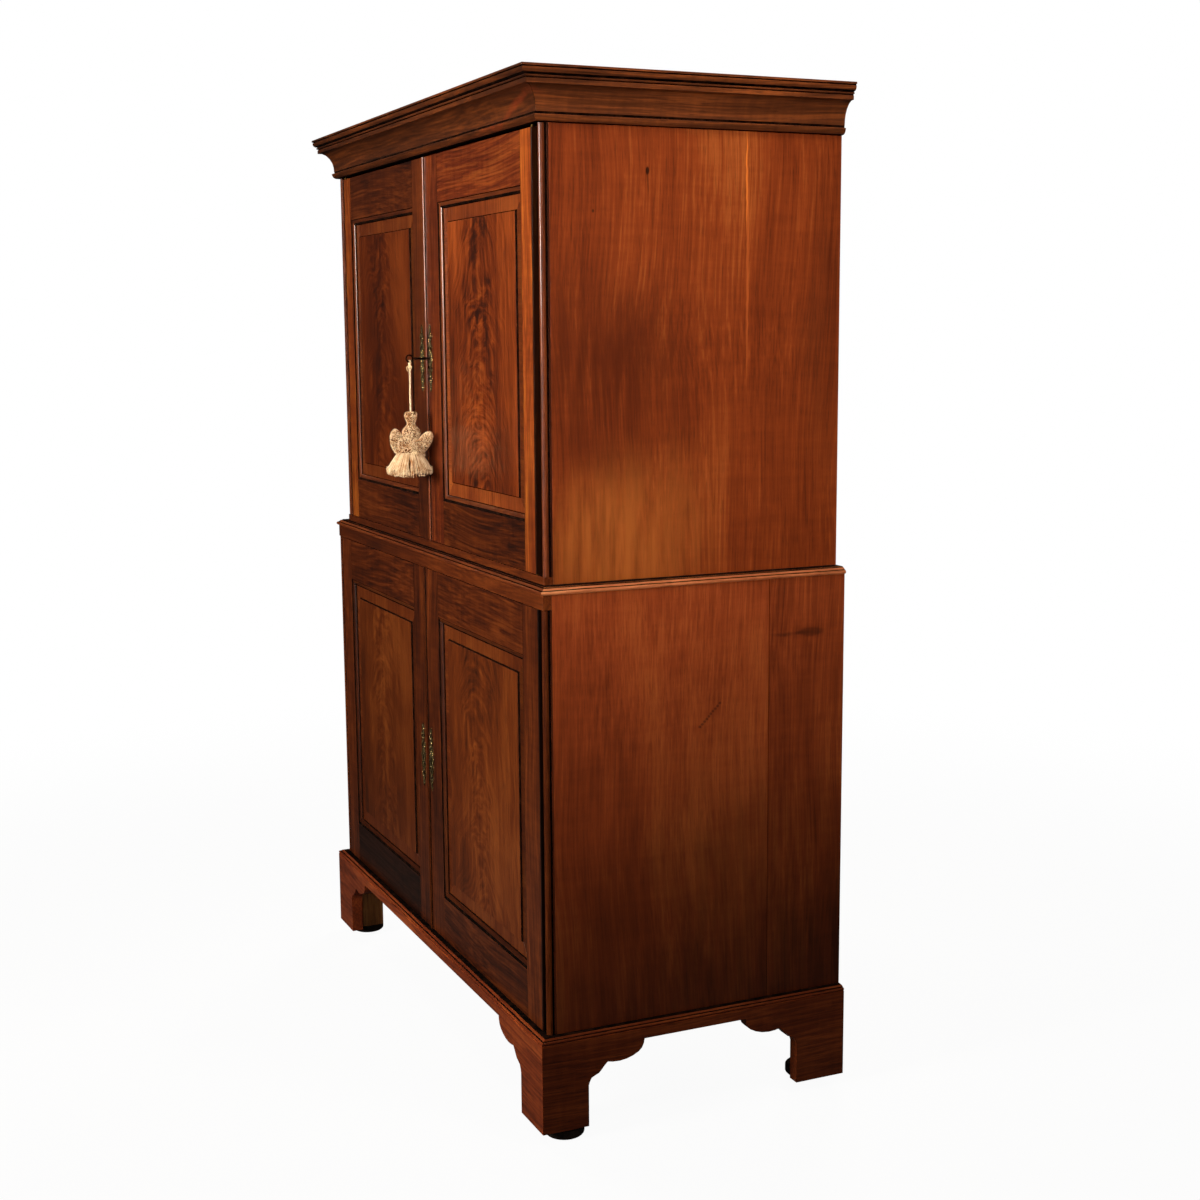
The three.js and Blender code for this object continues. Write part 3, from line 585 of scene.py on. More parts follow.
side_tones = (84, 30, 10), (131, 55, 21), (174, 94, 42)
low_side_tones = (92, 36, 14), (144, 62, 28), (182, 94, 44)
orange_tones = (108, 42, 12), (160, 70, 25), (212, 116, 42)
red_tones = (56, 20, 8), (110, 43, 17), (160, 76, 32)
brown_tones = (42, 16, 7), (88, 37, 14), (130, 62, 26)
panel_tones = (42, 15, 5), (106, 41, 12), (156, 72, 28)
low_panel_tones = (40, 17, 6), (104, 45, 15), (150, 78, 32)
band_tones = (84, 32, 12), (130, 58, 23), (170, 88, 38)
moulding_tones = (50, 20, 9), (104, 46, 20), (150, 76, 34)
plinth_tones = (54, 20, 9), (112, 46, 20), (158, 76, 34)
cornice_tones = (32, 15, 7), (80, 39, 18), (134, 68, 30)
strip_tones = (30, 12, 6), (62, 26, 12), (96, 42, 20)
waist_side_highlight_tones = (140, 70, 38), (198, 116, 70), (236, 164, 112)
inner_tones = (104, 62, 30), (142, 92, 50), (176, 126, 76)
ebony_tones = (16, 12, 10), (30, 24, 20), (48, 40, 34)


def marks_on_side(half, *rows):
    """Marks on a side of the case: y, z, half width, half height, colour and share."""
    return [((half, y, z), (0.01, wide, tall), color, share) for y, z, wide, tall, color, share in rows]


# A painted pool of red light on the cornice's cove near the right front corner
painted_cornice_light = ((0.51, -0.31, 1.882), (0.26, 0.09, 0.010), (142, 56, 26), 0.5)
# Painted shade that darkens the lower case's right side towards the floor
painted_low_shade = ((lower_half, 0.25, 0.05), (0.1, 1.3, 0.98), (22, 10, 5), 0.82)
upper_side_marks = marks_on_side(
    upper_half,
    (-0.070, 1.779, 0.005, 0.009, (26, 12, 6), 0.95),
    (-0.070, 1.760, 0.002, 0.030, (60, 24, 10), 0.6),
    (-0.178, 1.707, 0.003, 0.004, (34, 15, 7), 0.8),
    (0.132, 1.775, 0.0022, 0.115, (226, 122, 44), 0.8),
    (0.134, 1.62, 0.003, 0.30, (188, 92, 38), 0.45),
    (-0.150, 1.110, 0.16, 0.22, (190, 106, 44), 0.55),
    (-0.030, 1.130, 0.16, 0.24, (176, 96, 40), 0.4),
    (-0.160, 1.430, 0.26, 0.29, (70, 26, 11), 0.6),
    (-0.160, 1.430, 0.12, 0.20, (74, 27, 11), 0.55),
    (0.300, 1.500, 0.06, 0.42, (74, 32, 14), 0.45),
)
back_board_marks = marks_on_side(
    lower_half,
    (0.231, 0.921, 0.068, 0.006, (40, 16, 8), 0.75),
    (0.260, 0.924, 0.035, 0.011, (44, 18, 8), 0.55),
)
scratch_step = 0.0047
scratch = marks_on_side(lower_half, *(
    (0.020 + scratch_step * step, 0.760 + scratch_step * step, 0.0042, 0.0034, (34, 14, 7), 0.6)
    for step in range(10)))

woods = {}


def add_woods(key, name, axes, tones, shift=(0, 0, 0), **look):
    """The same wood with its grain along each of the axes."""
    for axis in axes:
        woods[f"{key}_{axis}"] = wood(f"{name}_{axis}", tones, axis, shift, **look)


add_woods("rail", "mahogany_rail", "x", brown_tones, shade=0.82)
add_woods("sight", "mahogany_sight_moulding", "xz", moulding_tones, (0.3, 0.1, 0.2), coat=0.5, gloss=0.12,
          shade=0.7)
add_woods("low_sight", "mahogany_low_sight", "xz", moulding_tones, (0.3, 0.4, 0.2), coat=0.1, gloss=0.3,
          wear=0.2, shade=0.36)
# The plinth's front is a lighter copy of its sides' wood, as painted light and shade
add_woods("plinth", "mahogany_plinth", "x", plinth_tones, shade=1.3)
add_woods("plinth", "mahogany_plinth", "y", plinth_tones, shade=0.72)
add_woods("inner", "inner_wood", "xyz", inner_tones, coat=0.0, wear=0.2, grime=0.5)
# The cornice's sides are a lighter copy of its front's wood, as painted light
for axis, shade in (("x", 0.85), ("y", 1.5)):
    add_woods("cornice", "mahogany_cornice", axis, cornice_tones, (0.6, 0.1, 0.2), coat=0.4, shade=shade,
              marks=[painted_cornice_light])
# The waist's side takes lighter tones than its front, as a painted highlight on its bead
woods["waist_x"] = wood("mahogany_waist_front", moulding_tones, "x", (0.2, 0.5, 0.2), coat=0.12, gloss=0.3,
                        wear=0.2, shade=0.85)
woods["waist_y"] = wood("mahogany_waist_side_painted_highlight", waist_side_highlight_tones, "y", (0.2, 0.5, 0.2), gloss=0.2)
woods["bead"] = wood("mahogany_beads", moulding_tones, "z", (0.1, 0.7, 0.4), coat=0.6, gloss=0.07, wear=0.3)
for key, shift, shade, sheen in (("dull", (0.1, 0.2, 0.4), 0.5, 0.08), ("dark", (0.1, 0.5, 0.4), 0.3, 0.05)):
    woods[key + "_bead"] = wood(f"mahogany_{key}_beads", moulding_tones, "z", shift, coat=0.0, gloss=0.3,
                                wear=0.0, shade=shade, sheen=sheen)
woods["strip"] = wood("mahogany_dark_strips", strip_tones, coat=0.15, wear=1.0)
woods["side_right"] = wood("mahogany_side_right", side_tones, "z", (0.0, 0.11, 0.3), pores=0.5,
                           contrast=0.85, marks=upper_side_marks)
woods["side_left"] = wood("mahogany_side_left", side_tones, "z", (0.0, 0.53, 0.1))
ebony = wood("blackened_wood", ebony_tones, coat=0.1)


def board(node, material, width=board_arris):
    """A plain board or block: the whole node with softened arrises."""
    member(node, "board", material, width=width)


def boards(node, axis, places, materials, width):
    """A wide node made up of boards that meet at the places given. The last wood goes on to its end."""
    ends = [None, *places, None]
    for number, edges in enumerate(zip(ends, ends[1:])):
        material = materials[min(number, len(materials) - 1)]
        member(node, f"board_{number + 1}", material, within(**{axis: edges}), width, seams=(axis, *places))


def ring_moulding(node, half, front, material, level):
    """A moulding round three sides, in three members that meet in mitres, with painted shade on its flat
    faces at a level and under the cornice's top fillets.
    """
    def black(centre, normal):
        at_level = abs(normal.z) > facing and abs(centre.z - level) < joint_reach
        return at_level or (node == "cornice" and normal.z < -0.8 and centre.z > level + fillet_level)
    for part, cuts, axis in (
            ("front", [((half, front, 0), (1, 1, 0)), ((-half, front, 0), (-1, 1, 0))], "x"),
            ("right", [((half, front, 0), (-1, -1, 0))], "y"),
            ("left", [((-half, front, 0), (1, -1, 0))], "y")):
        member(node, part, woods[f"{material}_{axis}"], cuts, ring_arris, black)


def column(node, strip_front):
    """A corner column: the round bead on its neck, its back blackened as painted shade, and the dark strip
    behind it.
    """
    bead = woods["bead" if node == "upper_column_right" else "dull_bead"]
    member(node, "bead", bead, [beyond("y", strip_front, 1)], fine_arris,
           lambda centre, normal: centre.y > strip_front - neck_shade)
    member(node, "strip", woods["strip"], [beyond("y", strip_front, -1)], thin_arris)


def make_case():
    """The mouldings, sides, columns, plinth, rails and inner boards of both cases."""
    ring_moulding("cornice", upper_half, upper_front, "cornice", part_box("cornice")[0].z)
    ring_moulding("waist_moulding", lower_half, lower_front, "waist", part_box("waist_moulding")[1].z)
    ring_moulding("base_moulding", lower_half, lower_front, "plinth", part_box("base_moulding")[1].z)
    for side, shift in (("left", 0.21), ("right", 0.0)):
        seen = side == "right"
        board(f"upper_side_{side}", woods[f"side_{side}"])
        main = wood(f"mahogany_low_side_{side}", low_side_tones, "z", (0.4, shift, 0.7), pores=0.4,
                    contrast=0.8, marks=[painted_low_shade, *(scratch if seen else ())])
        back = wood(f"mahogany_back_board_{side}", low_side_tones, "z", (0.9, shift, 0.2), shade=0.9,
                    pores=0.4, marks=[painted_low_shade, *back_board_marks] if seen else ())
        boards(f"lower_side_{side}", "y", [side_joint], [main, back], thin_arris)
        column(f"upper_column_{side}", upper_front + column_setback)
        column(f"lower_column_{side}", lower_front + column_setback)
        board(f"plinth_{side}", woods["plinth_y"])
        board(f"tray_guide_{side}", woods["inner_y"])
        for end in ("front", "back"):
            board(f"foot_block_{end}_{side}", woods["inner_z"])
    board("plinth_front", woods["plinth_x"])
    # Painted shade: the rail's underside and the sill's top face are blackened
    member("lower_rail", "board", woods["rail_x"], black=lambda centre, normal: normal.z < -facing)
    member("upper_sill", "front", woods["rail_x"], [beyond("y", sill_back, 1)], thin_arris,
           lambda centre, normal: normal.z > facing)
    member("upper_sill", "floor", woods["inner_x"], [beyond("y", sill_back, -1)], thin_arris)
    for name in ("lower_top", "lower_bottom", "lower_shelf"):
        boards(name, "y", board_joints, [woods["inner_x"]], thin_arris)
    boards("upper_top", "y", [edge_strip, *board_joints], [woods["rail_x"], woods["inner_x"]], thin_arris)
    for name, half in (("upper_back", upper_half), ("lower_back", lower_half)):
        boards(name, "x", [half * share for share in back_shares], [woods["inner_z"]], back_arris)


# For each door: the tones and shade of its outer and inner stile and its top and bottom rail, the shade of
# its panel's field and cross bands, and the smoke and contrast of its figure
# The shade factors are partly painted light and shade: each part is made lighter or darker to paint the
# light that falls on it.
door_looks = {
    "upper_left": dict(outer=(orange_tones, 0.5), inner=(brown_tones, 0.8), top=(brown_tones, 0.56),
                       bottom=(brown_tones, 0.72), field=0.49, band=0.48, smoke=0.65, contrast=0.95),
    "upper_right": dict(outer=(orange_tones, 0.8), inner=(red_tones, 0.7), top=(red_tones, 0.74),
                        bottom=(brown_tones, 0.62), field=0.88, band=0.82, smoke=0.95, contrast=1.15),
    "lower_left": dict(outer=(brown_tones, 0.9), inner=(brown_tones, 0.75), top=(brown_tones, 0.75),
                       bottom=(brown_tones, 0.13), field=0.66, band=0.46, smoke=0.3, contrast=0.8),
    "lower_right": dict(outer=(brown_tones, 0.85), inner=(brown_tones, 0.8), top=(brown_tones, 0.72),
                        bottom=(brown_tones, 0.6), field=0.84, band=0.5, smoke=0.25, contrast=0.8),
}


def door_wood(door, part, grain):
    tones, shade = door_looks[door][part]
    number = list(door_looks).index(door)
    low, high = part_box(f"{door}_door_frame")
    edge = high.x if door.endswith("right") else low.x
    # Painted shadow in the groove beside the column, along the outer stile's edge; on the upper right door,
    # painted shade darkens the outer stile towards its foot
    painted_groove_shadow = ((edge, low.y, (low.z + high.z) / 2), (0.007, 0.03, 3.0), (9, 5, 3), 0.95)
    foot = ((edge, low.y, low.z), (0.3, 0.3, 0.42), (84, 34, 14), 0.75 if door == "upper_right" else 0.0)
    return wood(f"mahogany_{door}_{part}", tones, grain, (0.37 * number, 0.2, 0.61 * number), shade=shade,
                coat=0.35, contrast=1.6, marks=[foot, painted_groove_shadow] if part == "outer" else ())


def sides_of(x0, x1, z0, z1):
    """The sides of an opening in XZ: name, axis across, place, way inwards, and the mitres at its ends."""
    for part, edge, way in (("left", x0, 1), ("right", x1, -1)):
        yield part, "x", edge, way, [((edge, 0, z1), (way, 0, 1)), ((edge, 0, z0), (way, 0, -1))]
    for part, edge, way in (("top", z1, -1), ("bottom", z0, 1)):
        yield part, "z", edge, way, [((x0, 0, edge), (-1, 0, way)), ((x1, 0, edge), (1, 0, way))]


def door_frame(door):
    """Two stiles, two rails and the four strips of the sunk moulding, mitred at each corner."""
    node = f"{door}_door_frame"
    upper = door.startswith("upper")
    low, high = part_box(f"{door}_door_panel")
    x0, x1 = low.x - panel_seat, high.x + panel_seat
    z0, z1 = low.z - panel_seat, high.z + panel_seat
    for part, axis, edge, way, mitres in sides_of(x0, x1, z0, z1):
        index = "xyz".index(axis)
        place, name, grain, seams, cuts = part, f"{part}_rail", "x", ("x", x0, x1), within(x=(x0, x1))
        if axis == "x":
            place = "outer" if door.endswith(part) else "inner"
            name, grain, seams, cuts = f"{part}_stile", "z", ("x", edge), []
        cuts.append(beyond(axis, edge, way))
        if place == "inner" and door.endswith("right"):
            bead_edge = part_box(node)[0].x + bead_reach
            member(node, "bead", woods["bead" if upper else "dark_bead"], [beyond("x", bead_edge, 1)],
                   fine_arris)
            cuts.append(beyond("x", bead_edge, -1))

        # Painted shade in the gaps: the edges of the inner stile and of the rails are blackened
        def inner_face(centre, normal):
            return place != "outer" and abs(normal[index]) > facing

        # Painted shade on the sunk moulding: its steep faces, its quirk by the frame, and the lower part of
        # the top strip, which faces down
        def sunk(centre, normal):
            deep = abs(centre[index] - edge)
            black_to = line_reach if part == "top" else quirk_reach
            return abs(normal.y) < steep or deep < black_to or (part == "top" and deep > shaded_part)

        member(node, name, door_wood(door, place, grain), cuts, door_arris, inner_face, seams)
        strip_cuts = [beyond(axis, edge, -way), beyond(axis, edge + way * moulding_reach, way), *mitres]
        sight = woods[f"{'sight' if upper else 'low_sight'}_{grain}"]
        member(node, f"{part}_moulding", sight, strip_cuts, crisp_arris, sunk)


def door_panel(door, field_wood):
    """The figured field, and four cross-banded strips mitred round it."""
    node = f"{door}_door_panel"
    low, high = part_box(node)
    x0, x1 = low.x + panel_border, high.x - panel_border
    z0, z1 = low.z + panel_border, high.z - panel_border
    # Painted shade: the field's bevelled edges are blackened
    member(node, "field", field_wood, within(x=(x0, x1), z=(z0, z1)), thin_arris,
           lambda centre, normal: -0.95 < normal.y < 0.5)
    shade = door_looks[door]["band"]
    # The right band is a darker copy of the same veneer, as painted shade
    lit = wood(f"cross_band_{door}_side", band_tones, "x", shade=shade)
    shaded = wood(f"cross_band_{door}_shaded", band_tones, "x", (0.5, 0, 0.4), shade=shade * 0.6)
    level = wood(f"cross_band_{door}_end", band_tones, shade=shade)
    bands = {"left": lit, "right": shaded, "top": level, "bottom": level}
    for part, axis, edge, way, mitres in sides_of(x0, x1, z0, z1):
        member(node, f"{part}_band", bands[part], [beyond(axis, edge, way), *mitres], fine_arris,
               seams=(axis, edge))


def make_doors():
    for number, (door, look) in enumerate(door_looks.items()):
        low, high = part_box(f"{door}_door_panel")
        plume_x = low.x + (high.x - low.x) * plume_share
        tones = panel_tones if door.startswith("upper") else low_panel_tones
        flame = wood(f"flame_{door}", tones, "z", (-plume_x, number * 0.7, -(low.z + high.z) / 2),
                     flame_group, coat=0.2, gloss=0.24, shade=look["field"], smoke=look["smoke"],
                     contrast=look["contrast"])
        door_frame(door)
        door_panel(door, flame)


def metal(name, dark, light, roughness, noise=(160, 5, 0.6), edges=(0.46, 0.64), metallic=1.0, relief=0.0):
    """Old metal in two tones by a noise, which also raises it where it is chased."""
    material, _, where, shader = new_material(name)
    patches = speckle(where, *noise)
    set_shader(shader, blend(span(patches, *edges), tone(*dark), tone(*light)),
               span(patches, 0.35, 0.65, roughness + 0.15, roughness - 0.1), Metallic=metallic)
    if relief:
        set_bump(shader, patches, 1.0, relief)
    return material


def make_fittings():
    """The escutcheons, pins, lock, key and glides."""
    plate_brass = metal("chased_brass", (14, 11, 4), (240, 206, 128), 0.32, (480, 3, 0.6), (0.55, 0.6),
                        0.75, 0.0026)
    brass = metal("old_brass", (58, 44, 20), (128, 102, 56), 0.45)
    iron = metal("dark_iron", (28, 24, 20), (70, 62, 52), 0.45)
    for door in door_looks:
        board(f"{door}_escutcheon", plate_brass, crisp_arris)
        for end in ("top", "bottom"):
            board(f"{door}_{end}_pin", brass, metal_arris)
    board("upper_lock_case", iron, fine_arris)
    board("upper_lock_bolt", brass, metal_arris)
    board("key", iron, metal_arris)
    for end in ("front", "back"):
        for side in ("left", "right"):
            board(f"foot_glide_{end}_{side}", ebony, glide_arris)


def make_tray(node):
    """A tray's board, and the four walls that stand on it."""
    low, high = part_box(node)
    top = low.z + tray_board + tray_joint
    front, back = low.y + tray_wall + tray_joint, high.y - tray_wall - tray_joint
    member(node, "board", woods["inner_x"], [beyond("z", top, 1)], thin_arris)
    for part, cuts, axis in (
            ("front", [beyond("y", front, 1)], "x"), ("back", [beyond("y", back, -1)], "x"),
            ("left", within(y=(front, back)) + [beyond("x", 0, 1)], "y"),
            ("right", within(y=(front, back)) + [beyond("x", 0, -1)], "y")):
        member(node, part, woods["inner_" + axis], [beyond("z", top, -1)] + cuts)


# The tassel: a head, neck and ball of looped thread, a ruff with two wings, and a skirt of strands
bow_reach = 8.6 * millimetre
key_low, key_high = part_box("key")
bow_centre = Vector(((key_low.x + key_high.x) / 2, key_low.y + bow_reach, key_high.z - bow_reach))
wire_drop = 7 * millimetre
knot_drop = 7.5 * millimetre
cord_radius = 2.2 * millimetre
cord_drop = 101 * millimetre
cord_top = bow_centre - Vector((0, 0, bow_reach + 0.3 * millimetre))
tassel_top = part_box("tassel")[1].z
hand = random.Random(11)
golden_turn = 2.39996
up = Vector((0, 0, 1))
towards_right = Vector((0.41, 0.91, 0))
towards_front = Vector((0.91, -0.41, 0))
wing_way = Vector((0.75, 0.66, 0)).normalized()

# The cord's way from its top to its foot: across, back and down, in shares of its radius and its drop
cord_route = ((0, 0, 0), (0.1, 0.05, 0.12), (0.3, 0.1, 0.25), (0.35, 0.05, 0.4), (0.15, -0.1, 0.55),
              (-0.15, -0.1, 0.7), (-0.1, 0, 0.85), (0, 0, 1))

# The cord's loose ends at the knot: turn, drop and reach
loose_ends = (2.4, 17, 5), (4.4, 12, 6.5), (0.4, 8, 6), (5.6, 36, 3.4)

# Radii and depths below the tassel's top, in millimetres
head_outline = ((2, 0), (10, 0.4), (12.4, 3), (12.6, 8), (10.6, 14), (8.2, 20), (7.2, 24), (8.6, 28),
                (12, 31), (17, 37), (18.4, 43), (17, 49), (12, 55), (6, 58))
ruff_outline = (8, 56), (16, 60), (24, 68), (27, 78), (26, 86), (20, 90)
skirt_outline = (20, 84), (27, 92), (34, 104), (41, 115), (43, 119), (37, 122), (20, 118)
core_sides = 28

# The radii of the threads, the way the cord's plies wind, and the loops of the ruff
ply_reach = 0.95 * millimetre
ply_pitch = 9 * millimetre
ply_radius = 1.15 * millimetre
knot_thread = 0.75 * millimetre
head_thread = 0.6 * millimetre
loose_thread = 0.62 * millimetre
hem_thread = 0.55 * millimetre
lobe_loop = 1.6 * millimetre
ruff_loops = 760
loops_round = 38

# A strand of the skirt above its hem: radius, depth, and its shares of the drift and the parting
strand_top = (24, 83, 0, 0), (31, 92, 0.1, 0.4), (38.5, 103, 0.35, 1), (44.5, 113, 0.7, 0.5)

# Where the skirt lies open at the front, how far its strands part there, and how wide
open_place = -0.36
open_reach = 0.07
open_width = 0.12
parting_count = 9
parting_width = 0.022


def heading(turn):
    return Vector((math.cos(turn), math.sin(turn), 0))


def turn_between(turn, place):
    """How far one angle is past another, from minus to plus half a turn."""
    return (turn - place + math.pi) % full_turn - math.pi


def thread_piece(name, points, faces, shades):
    mesh = bpy.data.meshes.new(name)
    mesh.from_pydata([tuple(point) for point in points], [], faces)
    mesh.attributes.new("strand", "FLOAT", "FACE").data.foreach_set("value", shades)
    piece = bpy.data.objects.new(name, mesh)
    bpy.context.scene.collection.objects.link(piece)
    for face in mesh.polygons:
        face.use_smooth = True
    return piece


def tube_mesh(name, paths, radius, sides=4):
    """Thin tubes along many paths in one mesh. Each one has a shade of its own in "strand"."""
    points, faces, shades = [], [], []
    turns = [full_turn * number / sides for number in range(sides)]
    for path in paths:
        start = len(points)
        normal = None
        for index, point in enumerate(path):
            forward = (path[min(index + 1, len(path) - 1)] - path[max(index - 1, 0)]).normalized()
            normal = forward.orthogonal() if normal is None else normal
            normal = (normal - forward * normal.dot(forward)).normalized()
            across = forward.cross(normal)
            points.extend(point + radius * (math.cos(turn) * normal + math.sin(turn) * across)
                          for turn in turns)
        last = start + (len(path) - 1) * sides
        for one in range(start, last, sides):
            for number in range(sides):
                after = (number + 1) % sides
                faces.append((one + number, one + after, one + sides + after, one + sides + number))
        faces.append(tuple(range(start + sides - 1, start - 1, -1)))
        faces.append(tuple(range(last, last + sides)))
        shades.extend([hand.random()] * (last - start + 2))
    return thread_piece(name, points, faces, shades)


def smooth_path(knots, steps):
    """A curve through the knots, by the usual four-point rule."""
    line = []
    for index in range(len(knots) - 1):
        before, one = knots[max(index - 1, 0)], knots[index]
        other, after = knots[index + 1], knots[min(index + 2, len(knots) - 1)]
        for step in range(steps):
            t = step / steps
            line.append(0.5 * (2 * one + (other - before) * t
                               + (2 * before - 5 * one + 4 * other - after) * t * t
                               + (3 * one - before - 3 * other + after) * t * t * t))
    return line + [knots[-1]]


def twisted(line, radius, pitch, plies, finer=3):
    """The paths of the plies that wind round a line."""
    paths = [[] for _ in range(plies)]
    run = 0.0
    for one, other in zip(line, line[1:]):
        for step in range(finer):
            point = one.lerp(other, step / finer)
            turn = full_turn * (run + (other - one).length * step / finer) / pitch
            for number, path in enumerate(paths):
                path.append(point + radius * heading(turn + full_turn * number / plies))
        run += (other - one).length
    return paths


def small_loop(centre, out, size):
    """A loop of thread that stands on a surface with its plane turned at random round the normal."""
    side = (out.orthogonal() * hand.uniform(-1, 1) + out.cross(out.orthogonal()) * hand.uniform(-1, 1))
    side = side.normalized() if side.length > 0.01 else out.orthogonal().normalized()
    out = (out + 0.5 * Vector([hand.uniform(-1, 1) for _ in range(3)])).normalized()
    turns = [full_turn * number / 6 for number in range(7)]
    return [centre + size * (math.cos(turn) * side + math.sin(turn) * out) for turn in turns]


def lobe_loops(centre, axes, count, size):
    """Loops all over an egg-shaped lobe, given by its centre and three half-axes."""
    loops = []
    for number in range(count):
        height = 1 - 2 * (number + 0.5) / count
        turn = number * golden_turn + hand.uniform(-0.2, 0.2)
        flat = math.sqrt(1 - height * height)
        way = (flat * math.cos(turn), flat * math.sin(turn), height)
        point = sum((axis * share for axis, share in zip(axes, way)), Vector())
        out = sum((axis * (share / axis.length_squared) for axis, share in zip(axes, way)), Vector())
        loops.append(small_loop(centre + point, out.normalized(), size * hand.uniform(0.7, 1.2)))
    return loops


def lobe_core(centre, axes, share=0.97):
    """The solid inside a lobe, a little smaller than the lobe."""
    bpy.ops.object.select_all(action="DESELECT")
    bpy.ops.mesh.primitive_uv_sphere_add(segments=20, ring_count=12, radius=1)
    core = bpy.context.object
    core.name = "lobe"
    for vertex in core.data.vertices:
        way = vertex.co.copy()
        vertex.co = centre + sum((axis * (step * share) for axis, step in zip(axes, way)), Vector())
    core.data.attributes.new("strand", "FLOAT", "FACE")
    return core


def turned_core(name, centre, outline, squash=1.0):
    """A solid turned from an outline, with its front and back drawn in by a share."""
    sides, rings = core_sides, len(outline) - 1
    turns = [full_turn * number / sides for number in range(sides)]
    points = [centre + Vector((radius * millimetre * math.cos(turn),
                               radius * millimetre * squash * math.sin(turn), -down * millimetre))
              for radius, down in outline for turn in turns]
    faces = [(one + number, one + (number + 1) % sides, one + sides + (number + 1) % sides,
              one + sides + number)
             for one in range(0, rings * sides, sides) for number in range(sides)]
    faces.append(tuple(range(sides - 1, -1, -1)))
    faces.append(tuple(range(rings * sides, (rings + 1) * sides)))
    return thread_piece(name, points, faces, [0.0] * len(faces))


def thread_finish(name, dark, light, deep):
    """Spun thread: each strand in a tone of its own, fuzzy and uneven. The solid cores and a few strands
    take the deep tone, a painted shade between the loops.
    """
    material, tree, where, shader = new_material(name)
    strand = add_node(tree, "Attribute", attribute_name="strand").outputs["Fac"]
    fine = speckle(where, 900, 3, 0.6)
    slow = speckle(where, 70, 3, 0.6)
    value = total(times(strand, 0.8), about(fine, 0.7), about(slow, 1.6), 0.12, clamp=True)
    color = blend(value, tone(*dark), tone(*light))
    color = blend(span(strand, 0.0, 0.02, 1.0, 0.0), color, tone(*deep))
    set_shader(shader, color, span(fine, 0.3, 0.7, 0.95, 0.75), Specular_IOR_Level=0.1)
    set_bump(shader, fine, 0.5, 0.0003)
    return material


def make_cord(finish):
    """The twisted cord from the key's bow to the tassel's head, with the loop and knot at its top."""
    knots = [cord_top + Vector((across * cord_radius, back * cord_radius, -down * cord_drop))
             for across, back, down in cord_route]
    line = smooth_path(knots, 4)
    plies = twisted(line, ply_reach, ply_pitch, 3)
    cord = dress(tube_mesh("tassel_cord_plies", plies, ply_radius, 6), finish, "tassel_cord")
    wire = bow_centre - Vector((0, 0, wire_drop))
    knot = wire - Vector((0, 0, knot_drop))
    paths = []
    for lean, width in ((-0.8, 4.8), (0.9, 5.6)):
        loop = [(-1, 0.6 * lean, -7.5), (-width, lean, -3), (-width * 0.8, lean, 1.6), (0, 0.8 * lean, 3.6),
                (width * 0.8, 0.6 * lean, 1.4), (width, 0.4 * lean, -3), (1, 0, -7.5)]
        paths.append(smooth_path([wire + Vector(point) * millimetre for point in loop], 3))
    for number in range(5):
        tilt, turn = hand.uniform(-0.5, 0.5), hand.uniform(0, math.pi)
        wide = hand.uniform(2.6, 3.9)
        paths.append([knot + Vector((wide * math.cos(angle), wide * math.sin(angle),
                                     -number * 1.3 + 2 * tilt * math.cos(angle))) * millimetre
                      for angle in (turn + full_turn * step / 8 for step in range(9))])
    for turn, drop, reach in loose_ends:
        out = heading(turn) * reach
        end = [-up, out * 0.8 - 2 * up, out - up * (drop * 0.5), out * 0.55 - up * drop]
        paths.append(smooth_path([knot + point * millimetre for point in end], 3))
    knot_piece = tube_mesh("tassel_cord_knot", paths, knot_thread, 5)
    knot_piece.data.materials.append(finish)
    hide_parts("tassel_cord")
    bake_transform(knot_piece)
    return cord, line, knot_piece


def axis_at(down):
    """The tassel's axis that far below its top."""
    return Vector((bow_centre.x, bow_centre.y, tassel_top - down * millimetre))


def make_head(finish):
    """The mushroom head, the wrapped neck and the ball."""
    core = turned_core("tassel_head", axis_at(0), head_outline)
    paths = []
    for (r0, d0), (r1, d1) in zip(head_outline, head_outline[1:]):
        slope = Vector((d1 - d0, r1 - r0)).normalized()
        for _ in range(round((r0 + r1) * math.hypot(r1 - r0, d1 - d0) * 0.95)):
            share, way = hand.random(), heading(hand.uniform(0, full_turn))
            radius, down = r0 + (r1 - r0) * share, d0 + (d1 - d0) * share
            out = (way * slope.x + Vector((0, 0, slope.y))).normalized()
            centre = axis_at(down) + way * (radius * millimetre)
            paths.append(small_loop(centre, out, hand.uniform(0.8, 1.5) * millimetre))
    joined(core, tube_mesh("head_loops", paths, head_thread, 3))
    return dress(core, finish, "tassel")


def ruff_lobes():
    """The two wings and three lobes of the ruff: centre, half-axes and number of loops."""
    right, front = towards_right, towards_front
    return [
        (axis_at(61) - right * 0.030, (-right * 0.013, up * 0.025 - right * 0.003, front * 0.009), 640),
        (axis_at(63) + wing_way * 0.030, (wing_way * 0.0105 - up * 0.007, up * 0.022 + wing_way * 0.017,
                                          wing_way.cross(up) * 0.009), 640),
        (axis_at(71) + right * 0.012 + front * 0.019, (right * 0.016, up * 0.014, front * 0.011), 420),
        (axis_at(67) - right * 0.012 + front * 0.014, (right * 0.014, up * 0.016, front * 0.011), 420),
        (axis_at(70) - front * 0.020 - right * 0.008, (right * 0.016, up * 0.018, front * 0.010), 380),
    ]


